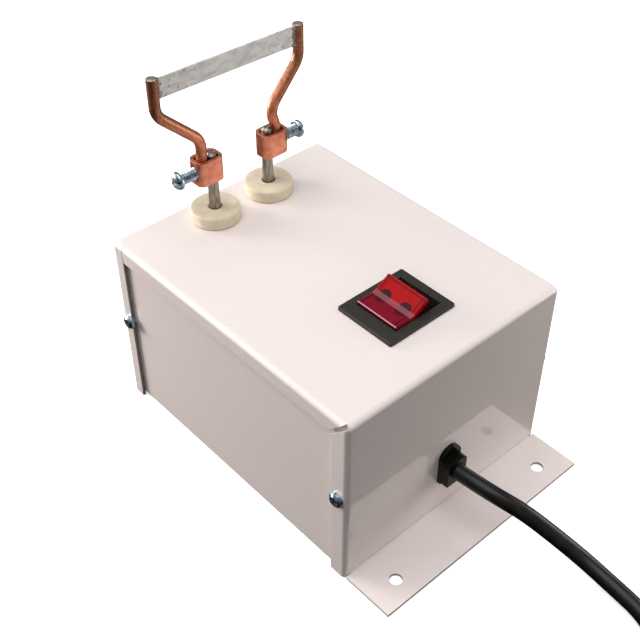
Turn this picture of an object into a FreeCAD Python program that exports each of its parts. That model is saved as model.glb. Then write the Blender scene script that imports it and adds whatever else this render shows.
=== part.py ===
"""Low-voltage bench welder: a mains transformer in a small folded-steel case, two tinned posts that
come up through ceramic washers, copper clamp lugs, and two bent copper arms joined by a thin strip.

Millimetres. +Z is up, -Y is the front (posts), +Y is the rear (mounting lip and mains cord), and the
origin is on the table, under the middle of the case and its lip.
"""
import FreeCAD, Part
import math
import os
import re
import Sketcher

V = FreeCAD.Vector

# Driving sizes: alias, value in mm or degrees, what it is.
SIZES = [
    ("case_length", 127.0, "case, front wall to rear wall"),
    ("case_width", 101.6, "case, side to side"),
    ("case_height", 76.2, "case, table to top"),
    ("stock", 1.2, "steel sheet thickness"),
    ("bend_outer", 2.0, "outer radius of the bends"),
    ("top_flange", 6.9, "depth of the cover's end flange along the top"),
    ("front_flange", 6.0, "width of the cover's end flange at the front"),
    ("rear_flange", 7.2, "width of the cover's end flange at the rear"),
    ("front_mitre", 0.45, "gap of the corner cut at the front"),
    ("rear_mitre", 1.75, "gap of the corner cut at the rear"),
    ("panel_gap", 0.3, "air between flanges and chassis"),
    ("lip_length", 21.0, "mounting lip behind the rear wall"),
    ("lip_inset", 0.5, "lip edge, in from the side of the case"),
    ("lip_gap", 0.3, "gap over the lip and between lip and rear flange"),
    ("lip_hole_radius", 2.4, "mounting hole"),
    ("lip_hole_pitch", 76.2, "mounting holes, centre to centre"),
    ("lip_hole_from_wall", 12.5, "mounting holes, behind the rear wall"),
    ("screw_height", 40.0, "cover screws, above the table"),
    ("front_screw_inset", 5.0, "front cover screws, behind the front wall"),
    ("rear_screw_inset", 4.2, "rear cover screws, in from the rear wall"),
    ("screw_head_radius", 2.8, "cover screw head"),
    ("screw_head_thick", 1.9, "cover screw head"),
    ("screw_shank_radius", 1.45, "cover screw shank"),
    ("screw_shank_length", 8.0, "cover screw shank"),
    ("screw_play", 0.2, "radial play of a screw in the cover"),
    ("fit_gap", 0.05, "radial play of a fit"),
    ("post_from_front", 13.7, "posts, behind the front wall"),
    ("post_spacing", 26.0, "posts, centre to centre"),
    ("post_base_radius", 2.25, "post at the washers"),
    ("post_tip_radius", 2.0, "post inside the clamp lug"),
    ("post_top", 104.6, "top of the posts"),
    ("post_tip_length", 12.5, "straight top of the post"),
    ("washer_radius", 9.52, "ceramic washer"),
    ("washer_thick", 5.0, "ceramic washer"),
    ("washer_round", 0.8, "rounding of the ceramic washer"),
    ("washer_play", 0.4, "radial play of a post in its washers"),
    ("spigot_radius", 4.7, "spigot of the ceramic washer in the top plate"),
    ("spigot_below", 1.6, "spigot below the top plate"),
    ("bush_radius", 8.0, "lower ceramic ring"),
    ("bush_thick", 3.0, "lower ceramic ring"),
    ("lug_slack", 0.4, "bore of the clamp lug, longer than post and arm together"),
    ("lug_depth", 8.0, "clamp lug, front to back"),
    ("lug_height", 9.6, "clamp lug"),
    ("lug_wall", 1.3, "clamp lug"),
    ("lug_round", 2.6, "outer corners of the clamp lug"),
    ("right_lug_bottom", 94.2, "right clamp lug, above the table"),
    ("left_lug_bottom", 92.8, "left clamp lug, above the table"),
    ("clamp_radius", 2.4, "clamp screw shank"),
    ("clamp_length", 8.2, "clamp screw, tip to head"),
    ("clamp_head_radius", 3.45, "clamp screw head"),
    ("clamp_head_thick", 2.5, "clamp screw head"),
    ("clamp_slot", 1.3, "width of the screwdriver slot"),
    ("clamp_play", 0.1, "clamp screw tip to arm"),
    ("arm_radius", 2.05, "copper arm"),
    ("arm_play", 0.2, "arm to post"),
    ("arm_foot_up", 1.0, "foot of the arm above the bottom of its lug"),
    ("arm_bend", 8.0, "bend radius of the arms"),
    ("right_waist_x", 16.9, "right arm, lower bend, from the middle"),
    ("right_waist_z", 111.4, "right arm, lower bend, above the table"),
    ("right_reach", 34.4, "right arm, upper leg, from the middle"),
    ("right_knee_z", 128.0, "right arm, upper bend, above the table"),
    ("right_top", 142.0, "right arm, top, above the table"),
    ("left_waist_x", 14.8, "left arm, lower bend, from the middle"),
    ("left_waist_z", 110.8, "left arm, lower bend, above the table"),
    ("left_reach", 29.3, "left arm, upper leg, from the middle"),
    ("left_knee_z", 127.0, "left arm, upper bend, above the table"),
    ("left_top", 140.5, "left arm, top, above the table"),
    ("strip_height", 7.6, "resistance strip"),
    ("strip_thick", 0.8, "resistance strip"),
    ("strip_drop", 0.4, "strip below the tops of the arms"),
    ("strip_bite", 0.9, "strip past the axis of each arm"),
    ("switch_from_rear", 30.2, "middle of the switch to the rear wall"),
    ("bezel_length", 31.0, "switch bezel, side to side"),
    ("bezel_width", 25.8, "switch bezel, front to back"),
    ("bezel_thick", 1.5, "switch bezel"),
    ("bezel_round", 0.7, "corners of the switch bezel"),
    ("shell_length", 27.0, "switch housing, side to side"),
    ("shell_width", 22.0, "switch housing, front to back"),
    ("shell_depth", 20.0, "switch housing below the top plate"),
    ("shell_floor", 3.0, "floor of the switch housing"),
    ("shell_play", 0.2, "switch housing in the top plate"),
    ("catch_reach", 0.9, "snap catch of the switch past its housing"),
    ("mouth_length", 21.6, "opening of the bezel, side to side"),
    ("mouth_width", 19.0, "opening of the bezel, front to back"),
    ("mouth_offset", 1.0, "opening of the bezel, to the left of its middle"),
    ("rocker_width", 18.6, "rocker, front to back"),
    ("rocker_half", 7.7, "rocker, hinge axis to the top edge"),
    ("rocker_vee", 16.0, "slope of each half of the rocker"),
    ("rocker_tilt", 15.5, "tilt of the rocker at each stop"),
    ("valley_flat", 0.9, "half width of the flat of the valley"),
    ("valley_height", 10.2, "valley of the rocker above its hinge axis"),
    ("rocker_skin", 1.3, "wall of the rocker"),
    ("hinge_depth", 6.7, "hinge axis below the top plate"),
    ("hinge_radius", 1.5, "hinge pin of the rocker"),
    ("pole_pitch", 9.5, "the two poles of the switch"),
    ("plunger_radius", 2.4, "plunger"),
    ("plunger_bore", 1.8, "bore of the plunger for its spring"),
    ("plunger_tip", 4.9, "tip of the plunger below the hinge axis"),
    ("plunger_rim", 5.2, "rim of the plunger above the hinge axis"),
    ("spring_wire", 0.25, "wire radius of the plunger spring"),
    ("spring_radius", 1.3, "coil radius of the plunger spring"),
    ("spring_pitch", 1.4, "pitch of the plunger spring"),
    ("spring_length", 7.2, "plunger spring"),
    ("lever_length", 17.0, "contact lever"),
    ("lever_width", 3.0, "contact lever"),
    ("lever_thick", 0.8, "contact lever"),
    ("lever_drop", 5.8, "contact lever pivot below the hinge axis"),
    ("lever_tilt", 8.0, "tilt of the contact lever at each stop"),
    ("blade_width", 6.3, "spade terminal"),
    ("blade_thick", 0.8, "spade terminal"),
    ("blade_below", 9.0, "spade terminal below the housing"),
    ("blade_pitch", 7.5, "centre terminal to end terminal"),
    ("lamp_radius", 1.9, "neon lamp"),
    ("lamp_length", 9.0, "neon lamp"),
    ("sleeve_width", 7.4, "receptacle on a spade"),
    ("sleeve_thick", 2.6, "receptacle on a spade"),
    ("sleeve_length", 8.0, "receptacle on a spade"),
    ("limb", 12.5, "lamination limb: the core is 6 limbs wide and 5 high"),
    ("foot_room", 8.0, "least room for the core's feet at each side"),
    ("top_room", 8.2, "least room above the core frame"),
    ("core_depth", 30.0, "stack of laminations, front to back"),
    ("core_from_front", 48.0, "middle of the core, behind the front wall"),
    ("pad_thick", 1.6, "insulating pad under the core"),
    ("frame_stock", 1.5, "strap of the core frame"),
    ("frame_width", 26.0, "core frame, front to back"),
    ("frame_play", 0.05, "core frame to core"),
    ("bobbin_wall", 1.2, "bobbin"),
    ("bobbin_play", 0.1, "bobbin to laminations"),
    ("winding_thick", 6.4, "primary winding"),
    ("wrap_thick", 0.4, "insulating wrap on the winding"),
    ("bobbin_flange", 25.0, "bobbin flange, half of its depth"),
    ("bar_thick", 2.2, "secondary bar"),
    ("bar_height", 20.0, "secondary bar"),
    ("bar_play", 0.2, "secondary bar to the wrap"),
    ("riser_width", 10.0, "riser of the secondary bar"),
    ("riser_gap", 2.1, "riser to the winding"),
    ("foot_thick", 3.0, "foot of the secondary bar under a post"),
    ("foot_width", 12.0, "foot of the secondary bar under a post"),
    ("foot_front", 6.5, "foot of the secondary bar, in front of the post"),
    ("foot_drop", 0.2, "foot of the secondary bar below the ceramic ring"),
    ("post_below", 3.0, "post below the foot"),
    ("stud_radius", 2.0, "weld stud"),
    ("stud_length", 9.0, "weld stud"),
    ("nut_flats", 7.0, "nut across flats"),
    ("nut_thick", 3.2, "nut"),
    ("earth_x", 32.0, "earth stud, to the right"),
    ("earth_from_rear", 26.0, "earth stud, in front of the rear wall"),
    ("ring_radius", 4.0, "earth ring terminal"),
    ("ring_thick", 0.8, "earth ring terminal"),
    ("relief_x", 1.2, "strain relief, to the right"),
    ("relief_z", 23.0, "cord axis above the table"),
    ("relief_width", 9.6, "strain relief flange"),
    ("relief_below", 6.4, "strain relief flange, below the cord axis"),
    ("relief_above", 5.0, "middle of the flange's round top, above the cord axis"),
    ("relief_flange", 1.8, "thickness of the strain relief flange"),
    ("relief_reach", 5.0, "strain relief behind the rear wall"),
    ("relief_neck", 0.5, "neck of the strain relief, in from the flange"),
    ("relief_inside", 9.0, "strain relief in front of the rear wall"),
    ("cord_radius", 3.1, "mains cord"),
    ("tail_length", 3.0, "cord jacket in front of the strain relief"),
    ("wire_radius", 1.1, "insulated wire"),
    ("coil_x", -31.0, "put-away coil of cord"),
    ("coil_y", 188.0, "put-away coil of cord"),
    ("coil_turn", 37.0, "middle of the turns"),
    ("coil_half", 13.0, "half thickness of the coil"),
    ("coil_height", 12.7, "height of the coil"),
    ("plug_length", 38.0, "plug body"),
    ("plug_width", 25.0, "plug body"),
    ("plug_height", 20.0, "plug body"),
    ("plug_round", 3.0, "plug body"),
    ("neck_length", 19.0, "plug strain relief"),
    ("neck_thin", 4.2, "plug strain relief at the cord"),
    ("neck_wide", 6.5, "plug strain relief at the plug"),
    ("pin_length", 17.0, "plug blade"),
    ("pin_width", 6.3, "plug blade"),
    ("pin_thick", 1.5, "plug blade"),
    ("pin_pitch", 12.7, "plug blades, middle to middle"),
    ("earth_pin_radius", 2.4, "round earth pin"),
]

# Places worked out from the sizes, as formulas in the same words.
PLACES = {
    "lug_length": "2*(lug_wall + post_tip_radius + arm_radius) + arm_play + lug_slack",
    "front": "-(case_length + lip_length)/2",
    "rear": "front + case_length",
    "side": "case_width/2",
    "panel": "side - stock - panel_gap",
    "post_x": "post_spacing/2",
    "post_y": "front + post_from_front",
    "foot_top": "case_height - stock - bush_thick - foot_drop",
    "lug_x": "post_x - post_tip_radius - fit_gap - lug_wall + lug_length/2",
    "lug_face": "lug_x + lug_length/2",
    "arm_x": "post_x + post_tip_radius + arm_play + arm_radius",
    "clamp_tip": "arm_x + arm_radius + clamp_play",
    "switch_y": "rear - switch_from_rear",
    "hinge_x": "-mouth_offset",
    "hinge_z": "case_height - hinge_depth",
    "shell_bottom": "case_height - shell_depth",
    "lever_z": "hinge_z - lever_drop",
    "blade_bottom": "shell_bottom - blade_below",
    "pitch": "min(limb; min((case_height - 2*stock - pad_thick - frame_stock - top_room)/5;"
             " (side - stock - panel_gap - stock - frame_stock - foot_room)/3))",
    "core_y": "front + core_from_front",
    "core_bottom": "stock + pad_thick",
    "core_top": "core_bottom + 5*pitch",
    "wound": "bobbin_play + bobbin_wall + winding_thick + wrap_thick",
    "coil_side": "pitch + wound",
    "coil_end": "core_depth/2 + wound",
    "stud_x": "3*pitch + frame_play + frame_stock + foot_room/2 + 0.3",
    "bar_middle": "core_bottom + 2.5*pitch",
    "riser_y": "core_y - coil_end - riser_gap",
    "inner_face": "rear - stock - relief_inside",
}

ALIASES = [alias for alias, _, _ in SIZES]
WORD = re.compile(r"[A-Za-z_][A-Za-z_0-9]*")

doc = FreeCAD.newDocument("bench_welder")
sizes = doc.addObject("Spreadsheet::Sheet", "sizes")
for row, (alias, size, meaning) in enumerate(SIZES, 1):
    sizes.set(f"A{row}", meaning)
    sizes.set(f"B{row}", str(size))
    sizes.setAlias(f"B{row}", alias)
doc.recompute()


def bind(text):
    """The same formula with every word replaced by its cell or by its own formula."""
    def swap(match):
        word = match.group()
        if word in PLACES:
            return "(" + bind(PLACES[word]) + ")"
        return "sizes." + word if word in ALIASES else word
    return WORD.sub(swap, str(text))


def value(text):
    """The number that a formula stands for now."""
    found = sizes.evalExpression(bind(text))
    return float(getattr(found, "Value", found))


def tie(thing, **formulas):
    """Binds properties to formulas. A double underscore in a name stands for a dot."""
    for prop, text in formulas.items():
        thing.setExpression(prop.replace("__", "."), bind(text))
    return thing


def place(thing, x="0", y="0", z="0"):
    """Ties a thing's place to three formulas."""
    return tie(thing, Placement__Base__x=x, Placement__Base__y=y, Placement__Base__z=z)


# ---------------------------------------------------------------- primitives and booleans

TURNED_TO = {
    "X": FreeCAD.Rotation(V(0, 1, 0), 90),
    "Y": FreeCAD.Rotation(V(1, 0, 0), -90),
    "Z": FreeCAD.Rotation(),
}


def span(name, x, y, z):
    """A box from (low, high) formulas along each axis."""
    made = doc.addObject("Part::Box", name)
    tie(made, Length=f"({x[1]}) - ({x[0]})", Width=f"({y[1]}) - ({y[0]})", Height=f"({z[1]}) - ({z[0]})")
    return place(made, x[0], y[0], z[0])


def rod(name, axis, at, radius, length):
    """A cylinder that starts at a place and runs along an axis."""
    made = doc.addObject("Part::Cylinder", name)
    made.Placement = FreeCAD.Placement(V(), TURNED_TO[axis])
    tie(made, Radius=radius, Height=length)
    return place(made, *at)


def cone(name, axis, at, start, end, length):
    """A cone that starts at a place and runs along an axis."""
    made = doc.addObject("Part::Cone", name)
    made.Placement = FreeCAD.Placement(V(), TURNED_TO[axis])
    tie(made, Radius1=start, Radius2=end, Height=length)
    return place(made, *at)


def joined(name, *pieces):
    made = doc.addObject("Part::MultiFuse", name)
    made.Shapes = list(pieces)
    made.Refine = True
    return made


def cut(name, base, *tools):
    made = doc.addObject("Part::Cut", name)
    made.Base = base
    made.Tool = tools[0] if len(tools) == 1 else joined(name + "_tools", *tools)
    return made


def group(name, *pieces):
    """Separate identical pieces that share one node."""
    made = doc.addObject("Part::Compound", name)
    made.Links = list(pieces)
    return made


def hexagon(name, at, flats, height):
    """A nut blank that stands on a place."""
    made = doc.addObject("Part::Prism", name)
    made.Polygon = 6
    tie(made, Circumradius=f"({flats})/2/cos(30)", Height=height)
    return place(made, *at)


# ---------------------------------------------------------------- sketches and bodies


def new_body(name):
    return doc.addObject("PartDesign::Body", name)


def new_sketch(body, plane, name):
    """An empty sketch on one of the body's own origin planes."""
    sketch = body.newObject("Sketcher::SketchObject", name)
    origin = [feature for feature in body.Origin.OriginFeatures if feature.Role == plane]
    sketch.AttachmentSupport = [(origin[0], "")]
    sketch.MapMode = "FlatFace"
    return sketch


def add_outline(sketch, points):
    """A closed polygon whose corners are tied to pairs of formulas."""
    first = sketch.GeometryCount
    spots = [V(value(x), value(y), 0) for x, y in points]
    for number, spot in enumerate(spots):
        sketch.addGeometry(Part.LineSegment(spot, spots[(number + 1) % len(spots)]), False)
    for number in range(len(spots)):
        follower = first + (number + 1) % len(spots)
        sketch.addConstraint(Sketcher.Constraint("Coincident", first + number, 2, follower, 1))
    for number, (x, y) in enumerate(points):
        for kind, text in (("DistanceX", x), ("DistanceY", y)):
            made = sketch.addConstraint(Sketcher.Constraint(kind, -1, 1, first + number, 1, value(text)))
            sketch.setExpression(f"Constraints[{made}]", bind(text))


def add_circle(sketch, x, y, radius):
    """A circle whose centre and radius are tied to formulas."""
    number = sketch.GeometryCount
    sketch.addGeometry(Part.Circle(V(value(x), value(y), 0), V(0, 0, 1), value(radius)), False)
    for kind, text in (("DistanceX", x), ("DistanceY", y)):
        made = sketch.addConstraint(Sketcher.Constraint(kind, -1, 1, number, 3, value(text)))
        sketch.setExpression(f"Constraints[{made}]", bind(text))
    made = sketch.addConstraint(Sketcher.Constraint("Radius", number, value(radius)))
    sketch.setExpression(f"Constraints[{made}]", bind(radius))


def pad(body, sketch, length, centred=False):
    made = body.newObject("PartDesign::Pad", sketch.Name + "_pad")
    made.Profile = sketch
    made.Midplane = centred
    tie(made, Length=length)
    return made


def pocket_through(body, sketch):
    """A pocket that runs through everything, both ways."""
    made = body.newObject("PartDesign::Pocket", sketch.Name + "_pocket")
    made.Profile = sketch
    made.Type = "ThroughAll"
    made.Midplane = True
    return made


def round_edges(body, radius, chosen):
    """Fillets the edges of the body's last feature that the test picks."""
    doc.recompute()
    last = body.Tip
    names = [f"Edge{number}" for number, edge in enumerate(last.Shape.Edges, 1) if chosen(edge)]
    made = body.newObject("PartDesign::Fillet", body.Name + "_round")
    made.Base = (last, names)
    tie(made, Radius=radius)
    doc.recompute()
    return made


def runs_along(edge, axis):
    """Whether a straight edge runs along X (0), Y (1) or Z (2)."""
    if len(edge.Vertexes) != 2 or not isinstance(edge.Curve, Part.Line):
        return False
    step = edge.Vertexes[1].Point - edge.Vertexes[0].Point
    return all(abs(step[other]) < 1e-6 for other in range(3) if other != axis)


def middle(edge):
    return edge.BoundBox.Center


def turned(name, profile, x, y):
    """A body turned about a vertical axis through (x, y), from (radius, height) corners."""
    body = new_body(name)
    sketch = new_sketch(body, "XZ_Plane", name + "_profile")
    add_outline(sketch, profile)
    made = body.newObject("PartDesign::Revolution", name + "_turned")
    made.Profile = sketch
    made.ReferenceAxis = (sketch, ["V_Axis"])
    made.Angle = 360
    return place(body, x, y)


# ---------------------------------------------------------------- rods, wires and cords along a route


def route_wire(points, radius_of):
    """Straight runs joined by tangent arcs, as one wire, and the arc radii."""
    turns = []
    for number in range(1, len(points) - 1):
        before = points[number - 1] - points[number]
        after = points[number + 1] - points[number]
        half = (math.pi - before.getAngle(after)) / 2
        radius = radius_of(min(before.Length, after.Length), half)
        reach = radius * math.tan(half)
        start = points[number] + before.normalize() * reach
        end = points[number] + after.normalize() * reach
        inward = (before + after).normalize()
        bulge = points[number] + inward * (radius / math.cos(half) - radius)
        turns.append((start, bulge, end, radius))
    edges = []
    here = points[0]
    for start, bulge, end, _ in turns:
        edges.append(Part.LineSegment(here, start).toShape())
        edges.append(Part.Arc(start, bulge, end).toShape())
        here = end
    edges.append(Part.LineSegment(here, points[-1]).toShape())
    return Part.Wire(edges), [turn[3] for turn in turns]


def swept(wire, start, direction, radius):
    """A round solid along a wire."""
    ring = Part.Wire(Part.makeCircle(radius, start, direction))
    return wire.makePipeShell([ring], True, False, 2)


def tube(name, route, radius, bend=None):
    """A round solid along a route, with arcs of one bend radius or as large as the runs allow."""
    points = [V(*(value(part) for part in spot)) for spot in route]
    size = value(radius)
    rule = (lambda run, half: value(bend)) if bend else (lambda run, half: 0.45 * run / math.tan(half))
    wire, radii = route_wire(points, rule)
    made = doc.addObject("Part::Feature", name)
    made.Shape = swept(wire, points[0], points[1] - points[0], size)
    ideal = math.pi * size ** 2 * wire.Length
    print(f"{name}: length {wire.Length:.1f}, radii {[round(r, 1) for r in radii]},"
          f" volume {made.Shape.Volume / ideal:.4f} of section times length")
    return made


NODES = []


def node(name, thing):
    """Marks a finished sub-part and names its file."""
    thing.Label = name
    NODES.append(thing)
    return thing


# The two sides mirror each other about the middle: +X is the right, -X the left.
SIDES = (("right", "1"), ("left", "-1"))


# ---------------------------------------------------------------- case


def make_cover():
    """Folded cover: top, front and rear walls, and flanges that close round both open ends."""
    body = new_body("cover_sheet")
    blank = new_sketch(body, "XY_Plane", "cover_blank")
    add_outline(blank, [("-side", "front"), ("side", "front"), ("side", "rear"), ("-side", "rear")])
    pad(body, blank, "case_height")
    top = value("case_height")
    round_edges(body, "bend_outer", lambda edge: runs_along(edge, 2) or middle(edge).z > top - 1e-6)
    solid = body.Tip
    under = [f"Face{n}" for n, face in enumerate(solid.Shape.Faces, 1) if face.BoundBox.ZMax < 1e-6]
    hollow = body.newObject("PartDesign::Thickness", "cover_hollow")
    hollow.Base = (solid, under)
    hollow.Reversed = True
    tie(hollow, Value="stock")
    doc.recompute()
    ends = new_sketch(body, "YZ_Plane", "cover_ends")
    add_outline(ends, [
        ("front + front_flange", "-1"), ("rear - rear_flange", "-1"),
        ("rear - rear_flange", "case_height - top_flange"),
        ("front + front_flange", "case_height - top_flange"),
    ])
    pocket_through(body, ends)
    holes = new_sketch(body, "XY_Plane", "cover_holes")
    for _, sign in SIDES:
        add_circle(holes, f"{sign}*post_x", "post_y", "spigot_radius + fit_gap")
    half_length = "(shell_length/2 + shell_play)"
    half_width = "(shell_width/2 + shell_play)"
    add_outline(holes, [
        (f"-{half_length}", f"switch_y - {half_width}"), (half_length, f"switch_y - {half_width}"),
        (half_length, f"switch_y + {half_width}"), (f"-{half_length}", f"switch_y + {half_width}"),
    ])
    pocket_through(body, holes)
    tools = []
    for side, sign in SIDES:
        for end, corner, lean, gap in (
            ("front", "front", 45, "front_mitre"), ("rear", "rear - 0.9", -45, "rear_mitre"),
        ):
            notch = doc.addObject("Part::Box", f"{side}_{end}_mitre")
            notch.Placement = FreeCAD.Placement(V(), FreeCAD.Rotation(V(1, 0, 0), lean))
            tie(notch, Length="stock + 1.5", Width=gap, Height="3*top_flange")
            shift = 1 if end == "front" else -1
            # The slot hangs from the outer corner along the mitre line, centred on it.
            place(notch, "side - stock - 0.3" if side == "right" else "-side - 1.2",
                  f"{corner} + {shift}*2.1*top_flange - {gap}/2*cos(45)",
                  f"case_height - 2.1*top_flange - {shift}*{gap}/2*sin(45)")
            tools.append(notch)
    for end, spot in (("front", "front + front_screw_inset"), ("rear", "rear - rear_screw_inset")):
        tools.append(rod(f"{end}_screw_holes", "X", ("-side - 1", spot, "screw_height"),
                         "screw_shank_radius + screw_play", "2*side + 2"))
    tools.append(span("lip_clearance", ("-(side - bend_outer - lip_gap)", "side - bend_outer - lip_gap"),
                      ("rear - stock - 0.5", "rear + 0.5"), ("-1", "stock + lip_gap")))
    tools.append(relief_profile("relief_hole", "relief_neck - fit_gap", "rear - stock - 0.5", "rear + 0.5"))
    node("cover", cut("cover_part", body, *tools))


def relief_profile(name, inset, start, end):
    """Flat-bottomed outline with a round top, along Y, inset from the strain relief's flange."""
    half = f"(relief_width/2 - ({inset}))"
    arch = "(relief_z + relief_above)"
    block = span(name + "_block", (f"relief_x - {half}", f"relief_x + {half}"), (start, end),
                 (f"relief_z - relief_below + ({inset})", arch))
    crown = rod(name + "_crown", "Y", ("relief_x", start, arch), half, f"({end}) - ({start})")
    return joined(name, block, crown)


def make_chassis():
    """Folded chassis: floor, two side panels behind the cover's flanges, and the mounting lip."""
    body = new_body("chassis_sheet")
    section = new_sketch(body, "XZ_Plane", "chassis_section")
    rim = "(case_height - stock - 2*panel_gap)"
    add_outline(section, [
        ("-panel", "0"), ("panel", "0"), ("panel", rim), ("panel - stock", rim),
        ("panel - stock", "stock"), ("-panel + stock", "stock"), ("-panel + stock", rim), ("-panel", rim),
    ])
    pad(body, section, "case_length - 2*stock - 2*panel_gap", centred=True)
    place(body, "0", "front + case_length/2")
    thin = value("stock")
    panel = value("panel")
    round_edges(body, "bend_outer - stock", lambda edge: runs_along(edge, 1)
                and abs(middle(edge).z - thin) < 1e-6 and abs(abs(middle(edge).x) - panel + thin) < 1e-6)
    round_edges(body, "bend_outer", lambda edge: runs_along(edge, 1)
                and middle(edge).z < 1e-6 and abs(abs(middle(edge).x) - panel) < 1e-6)
    tongue = span("tongue", ("-(side - bend_outer - 2*lip_gap)", "side - bend_outer - 2*lip_gap"),
                  ("rear - stock - panel_gap - 1", "rear + lip_gap + 1"), ("0", "stock"))
    lip = span("lip", ("-side + lip_inset", "side - lip_inset"), ("rear + lip_gap", "rear + lip_length"),
               ("0", "stock"))
    sheet = joined("chassis_blank", body, tongue, lip)
    holes = [rod(f"{side}_lip_hole", "Z", (f"{sign}*lip_hole_pitch/2", "rear + lip_hole_from_wall", "-1"),
                 "lip_hole_radius", "stock + 2") for side, sign in SIDES]
    for end, spot in (("front", "front + front_screw_inset"), ("rear", "rear - rear_screw_inset")):
        holes.append(rod(f"{end}_panel_holes", "X", ("-side", spot, "screw_height"),
                         "screw_shank_radius + fit_gap", "2*side"))
    node("chassis", cut("chassis_part", sheet, *holes))


def make_cover_screws():
    """Four self-tapping screws with cross recesses, through the flanges into the side panels."""
    screws = []
    for side, sign in SIDES:
        for end, spot in (("front", "front + front_screw_inset"), ("rear", "rear - rear_screw_inset")):
            name = f"{side}_{end}_screw"
            axis_at = ("side" if side == "right" else "-side - 0.6*screw_head_thick", spot, "screw_height")
            rim = rod(name + "_rim", "X", axis_at, "screw_head_radius", "0.6*screw_head_thick")
            far = "side + 0.6*screw_head_thick" if side == "right" else "-side - screw_head_thick"
            radii = ("screw_head_radius", "0.7*screw_head_radius")
            crown = cone(name + "_crown", "X", (far, spot, "screw_height"),
                         *(radii if side == "right" else radii[::-1]), "0.4*screw_head_thick")
            start = "side - screw_shank_length" if side == "right" else "-side"
            shank = rod(name + "_shank", "X", (start, spot, "screw_height"), "screw_shank_radius",
                        "screw_shank_length")
            deep = ("side + 0.5*screw_head_thick", "side + screw_head_thick + 1")
            if side == "left":
                deep = ("-side - screw_head_thick - 1", "-side - 0.5*screw_head_thick")
            bars = [span(f"{name}_cross{number}", deep, (f"{spot} - {across}", f"{spot} + {across}"),
                         (f"screw_height - {up}", f"screw_height + {up}"))
                    for number, (across, up) in enumerate((("0.35", "1.4"), ("1.4", "0.35")))]
            screws.append(cut(name, joined(name + "_blank", rim, crown, shank), *bars))
    node("cover_screws", group("cover_screw_set", *screws))


# ---------------------------------------------------------------- posts, lugs, arms and strip


def make_posts(side, sign):
    """A tinned post, the shouldered ceramic washer on the top plate and the ceramic ring below it."""
    where = (f"{sign}*post_x", "post_y")
    seat = "case_height + washer_thick"
    node(f"{side}_post", turned(f"{side}_post_body", [
        ("0", "foot_top - foot_thick - post_below"), ("post_base_radius", "foot_top - foot_thick - post_below"),
        ("post_base_radius", seat), ("post_tip_radius", "post_top - post_tip_length"),
        ("post_tip_radius", "post_top - 0.8"), ("post_tip_radius - 0.8", "post_top"), ("0", "post_top"),
    ], *where))
    washer = turned(f"{side}_washer_body", [
        ("post_base_radius + washer_play", "case_height - stock - spigot_below"),
        ("spigot_radius", "case_height - stock - spigot_below"), ("spigot_radius", "case_height"),
        ("washer_radius", "case_height"), ("washer_radius", seat), ("post_base_radius + washer_play", seat),
    ], *where)
    rim = value("washer_radius")
    round_edges(washer, "washer_round",
                lambda edge: abs(edge.BoundBox.XLength - 2 * rim) < 1e-3 and edge.BoundBox.ZLength < 1e-3)
    node(f"{side}_ceramic_washer", washer)
    node(f"{side}_ceramic_ring", turned(f"{side}_ring_body", [
        ("spigot_radius + fit_gap", "case_height - stock - bush_thick"),
        ("bush_radius", "case_height - stock - bush_thick"), ("bush_radius", "case_height - stock"),
        ("spigot_radius + fit_gap", "case_height - stock"),
    ], *where))


def make_lug(side, sign):
    """A rounded copper tube that holds the post and the arm side by side, with a tapped outer end."""
    bottom = f"{side}_lug_bottom"
    body = new_body(f"{side}_lug_body")
    outer = new_sketch(body, "XY_Plane", f"{side}_lug_outer")
    long_side = "(lug_length/2)"
    short_side = "(lug_depth/2)"
    add_outline(outer, [(f"-{long_side}", f"-{short_side}"), (long_side, f"-{short_side}"),
                        (long_side, short_side), (f"-{long_side}", short_side)])
    pad(body, outer, "lug_height")
    round_edges(body, "lug_round", lambda edge: runs_along(edge, 2))
    inner = new_sketch(body, "XY_Plane", f"{side}_lug_inner")
    long_side = "(lug_length/2 - lug_wall)"
    short_side = "(lug_depth/2 - lug_wall)"
    add_outline(inner, [(f"-{long_side}", f"-{short_side}"), (long_side, f"-{short_side}"),
                        (long_side, short_side), (f"-{long_side}", short_side)])
    pocket_through(body, inner)
    reach = value("lug_length/2 - lug_wall") + 1e-3
    round_edges(body, "lug_round - lug_wall",
                lambda edge: runs_along(edge, 2) and abs(middle(edge).x) > reach - 0.01
                and abs(middle(edge).x) < reach + 0.01)
    place(body, f"{sign}*lug_x", "post_y", bottom)
    start = "lug_face - 2*lug_wall" if side == "right" else "-lug_face - 1"
    thread = rod(f"{side}_lug_thread", "X", (start, "post_y", f"{bottom} + lug_height/2"),
                 "clamp_radius + fit_gap", "2*lug_wall + 1")
    node(f"{side}_clamp_lug", cut(f"{side}_lug_part", body, thread))


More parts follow.
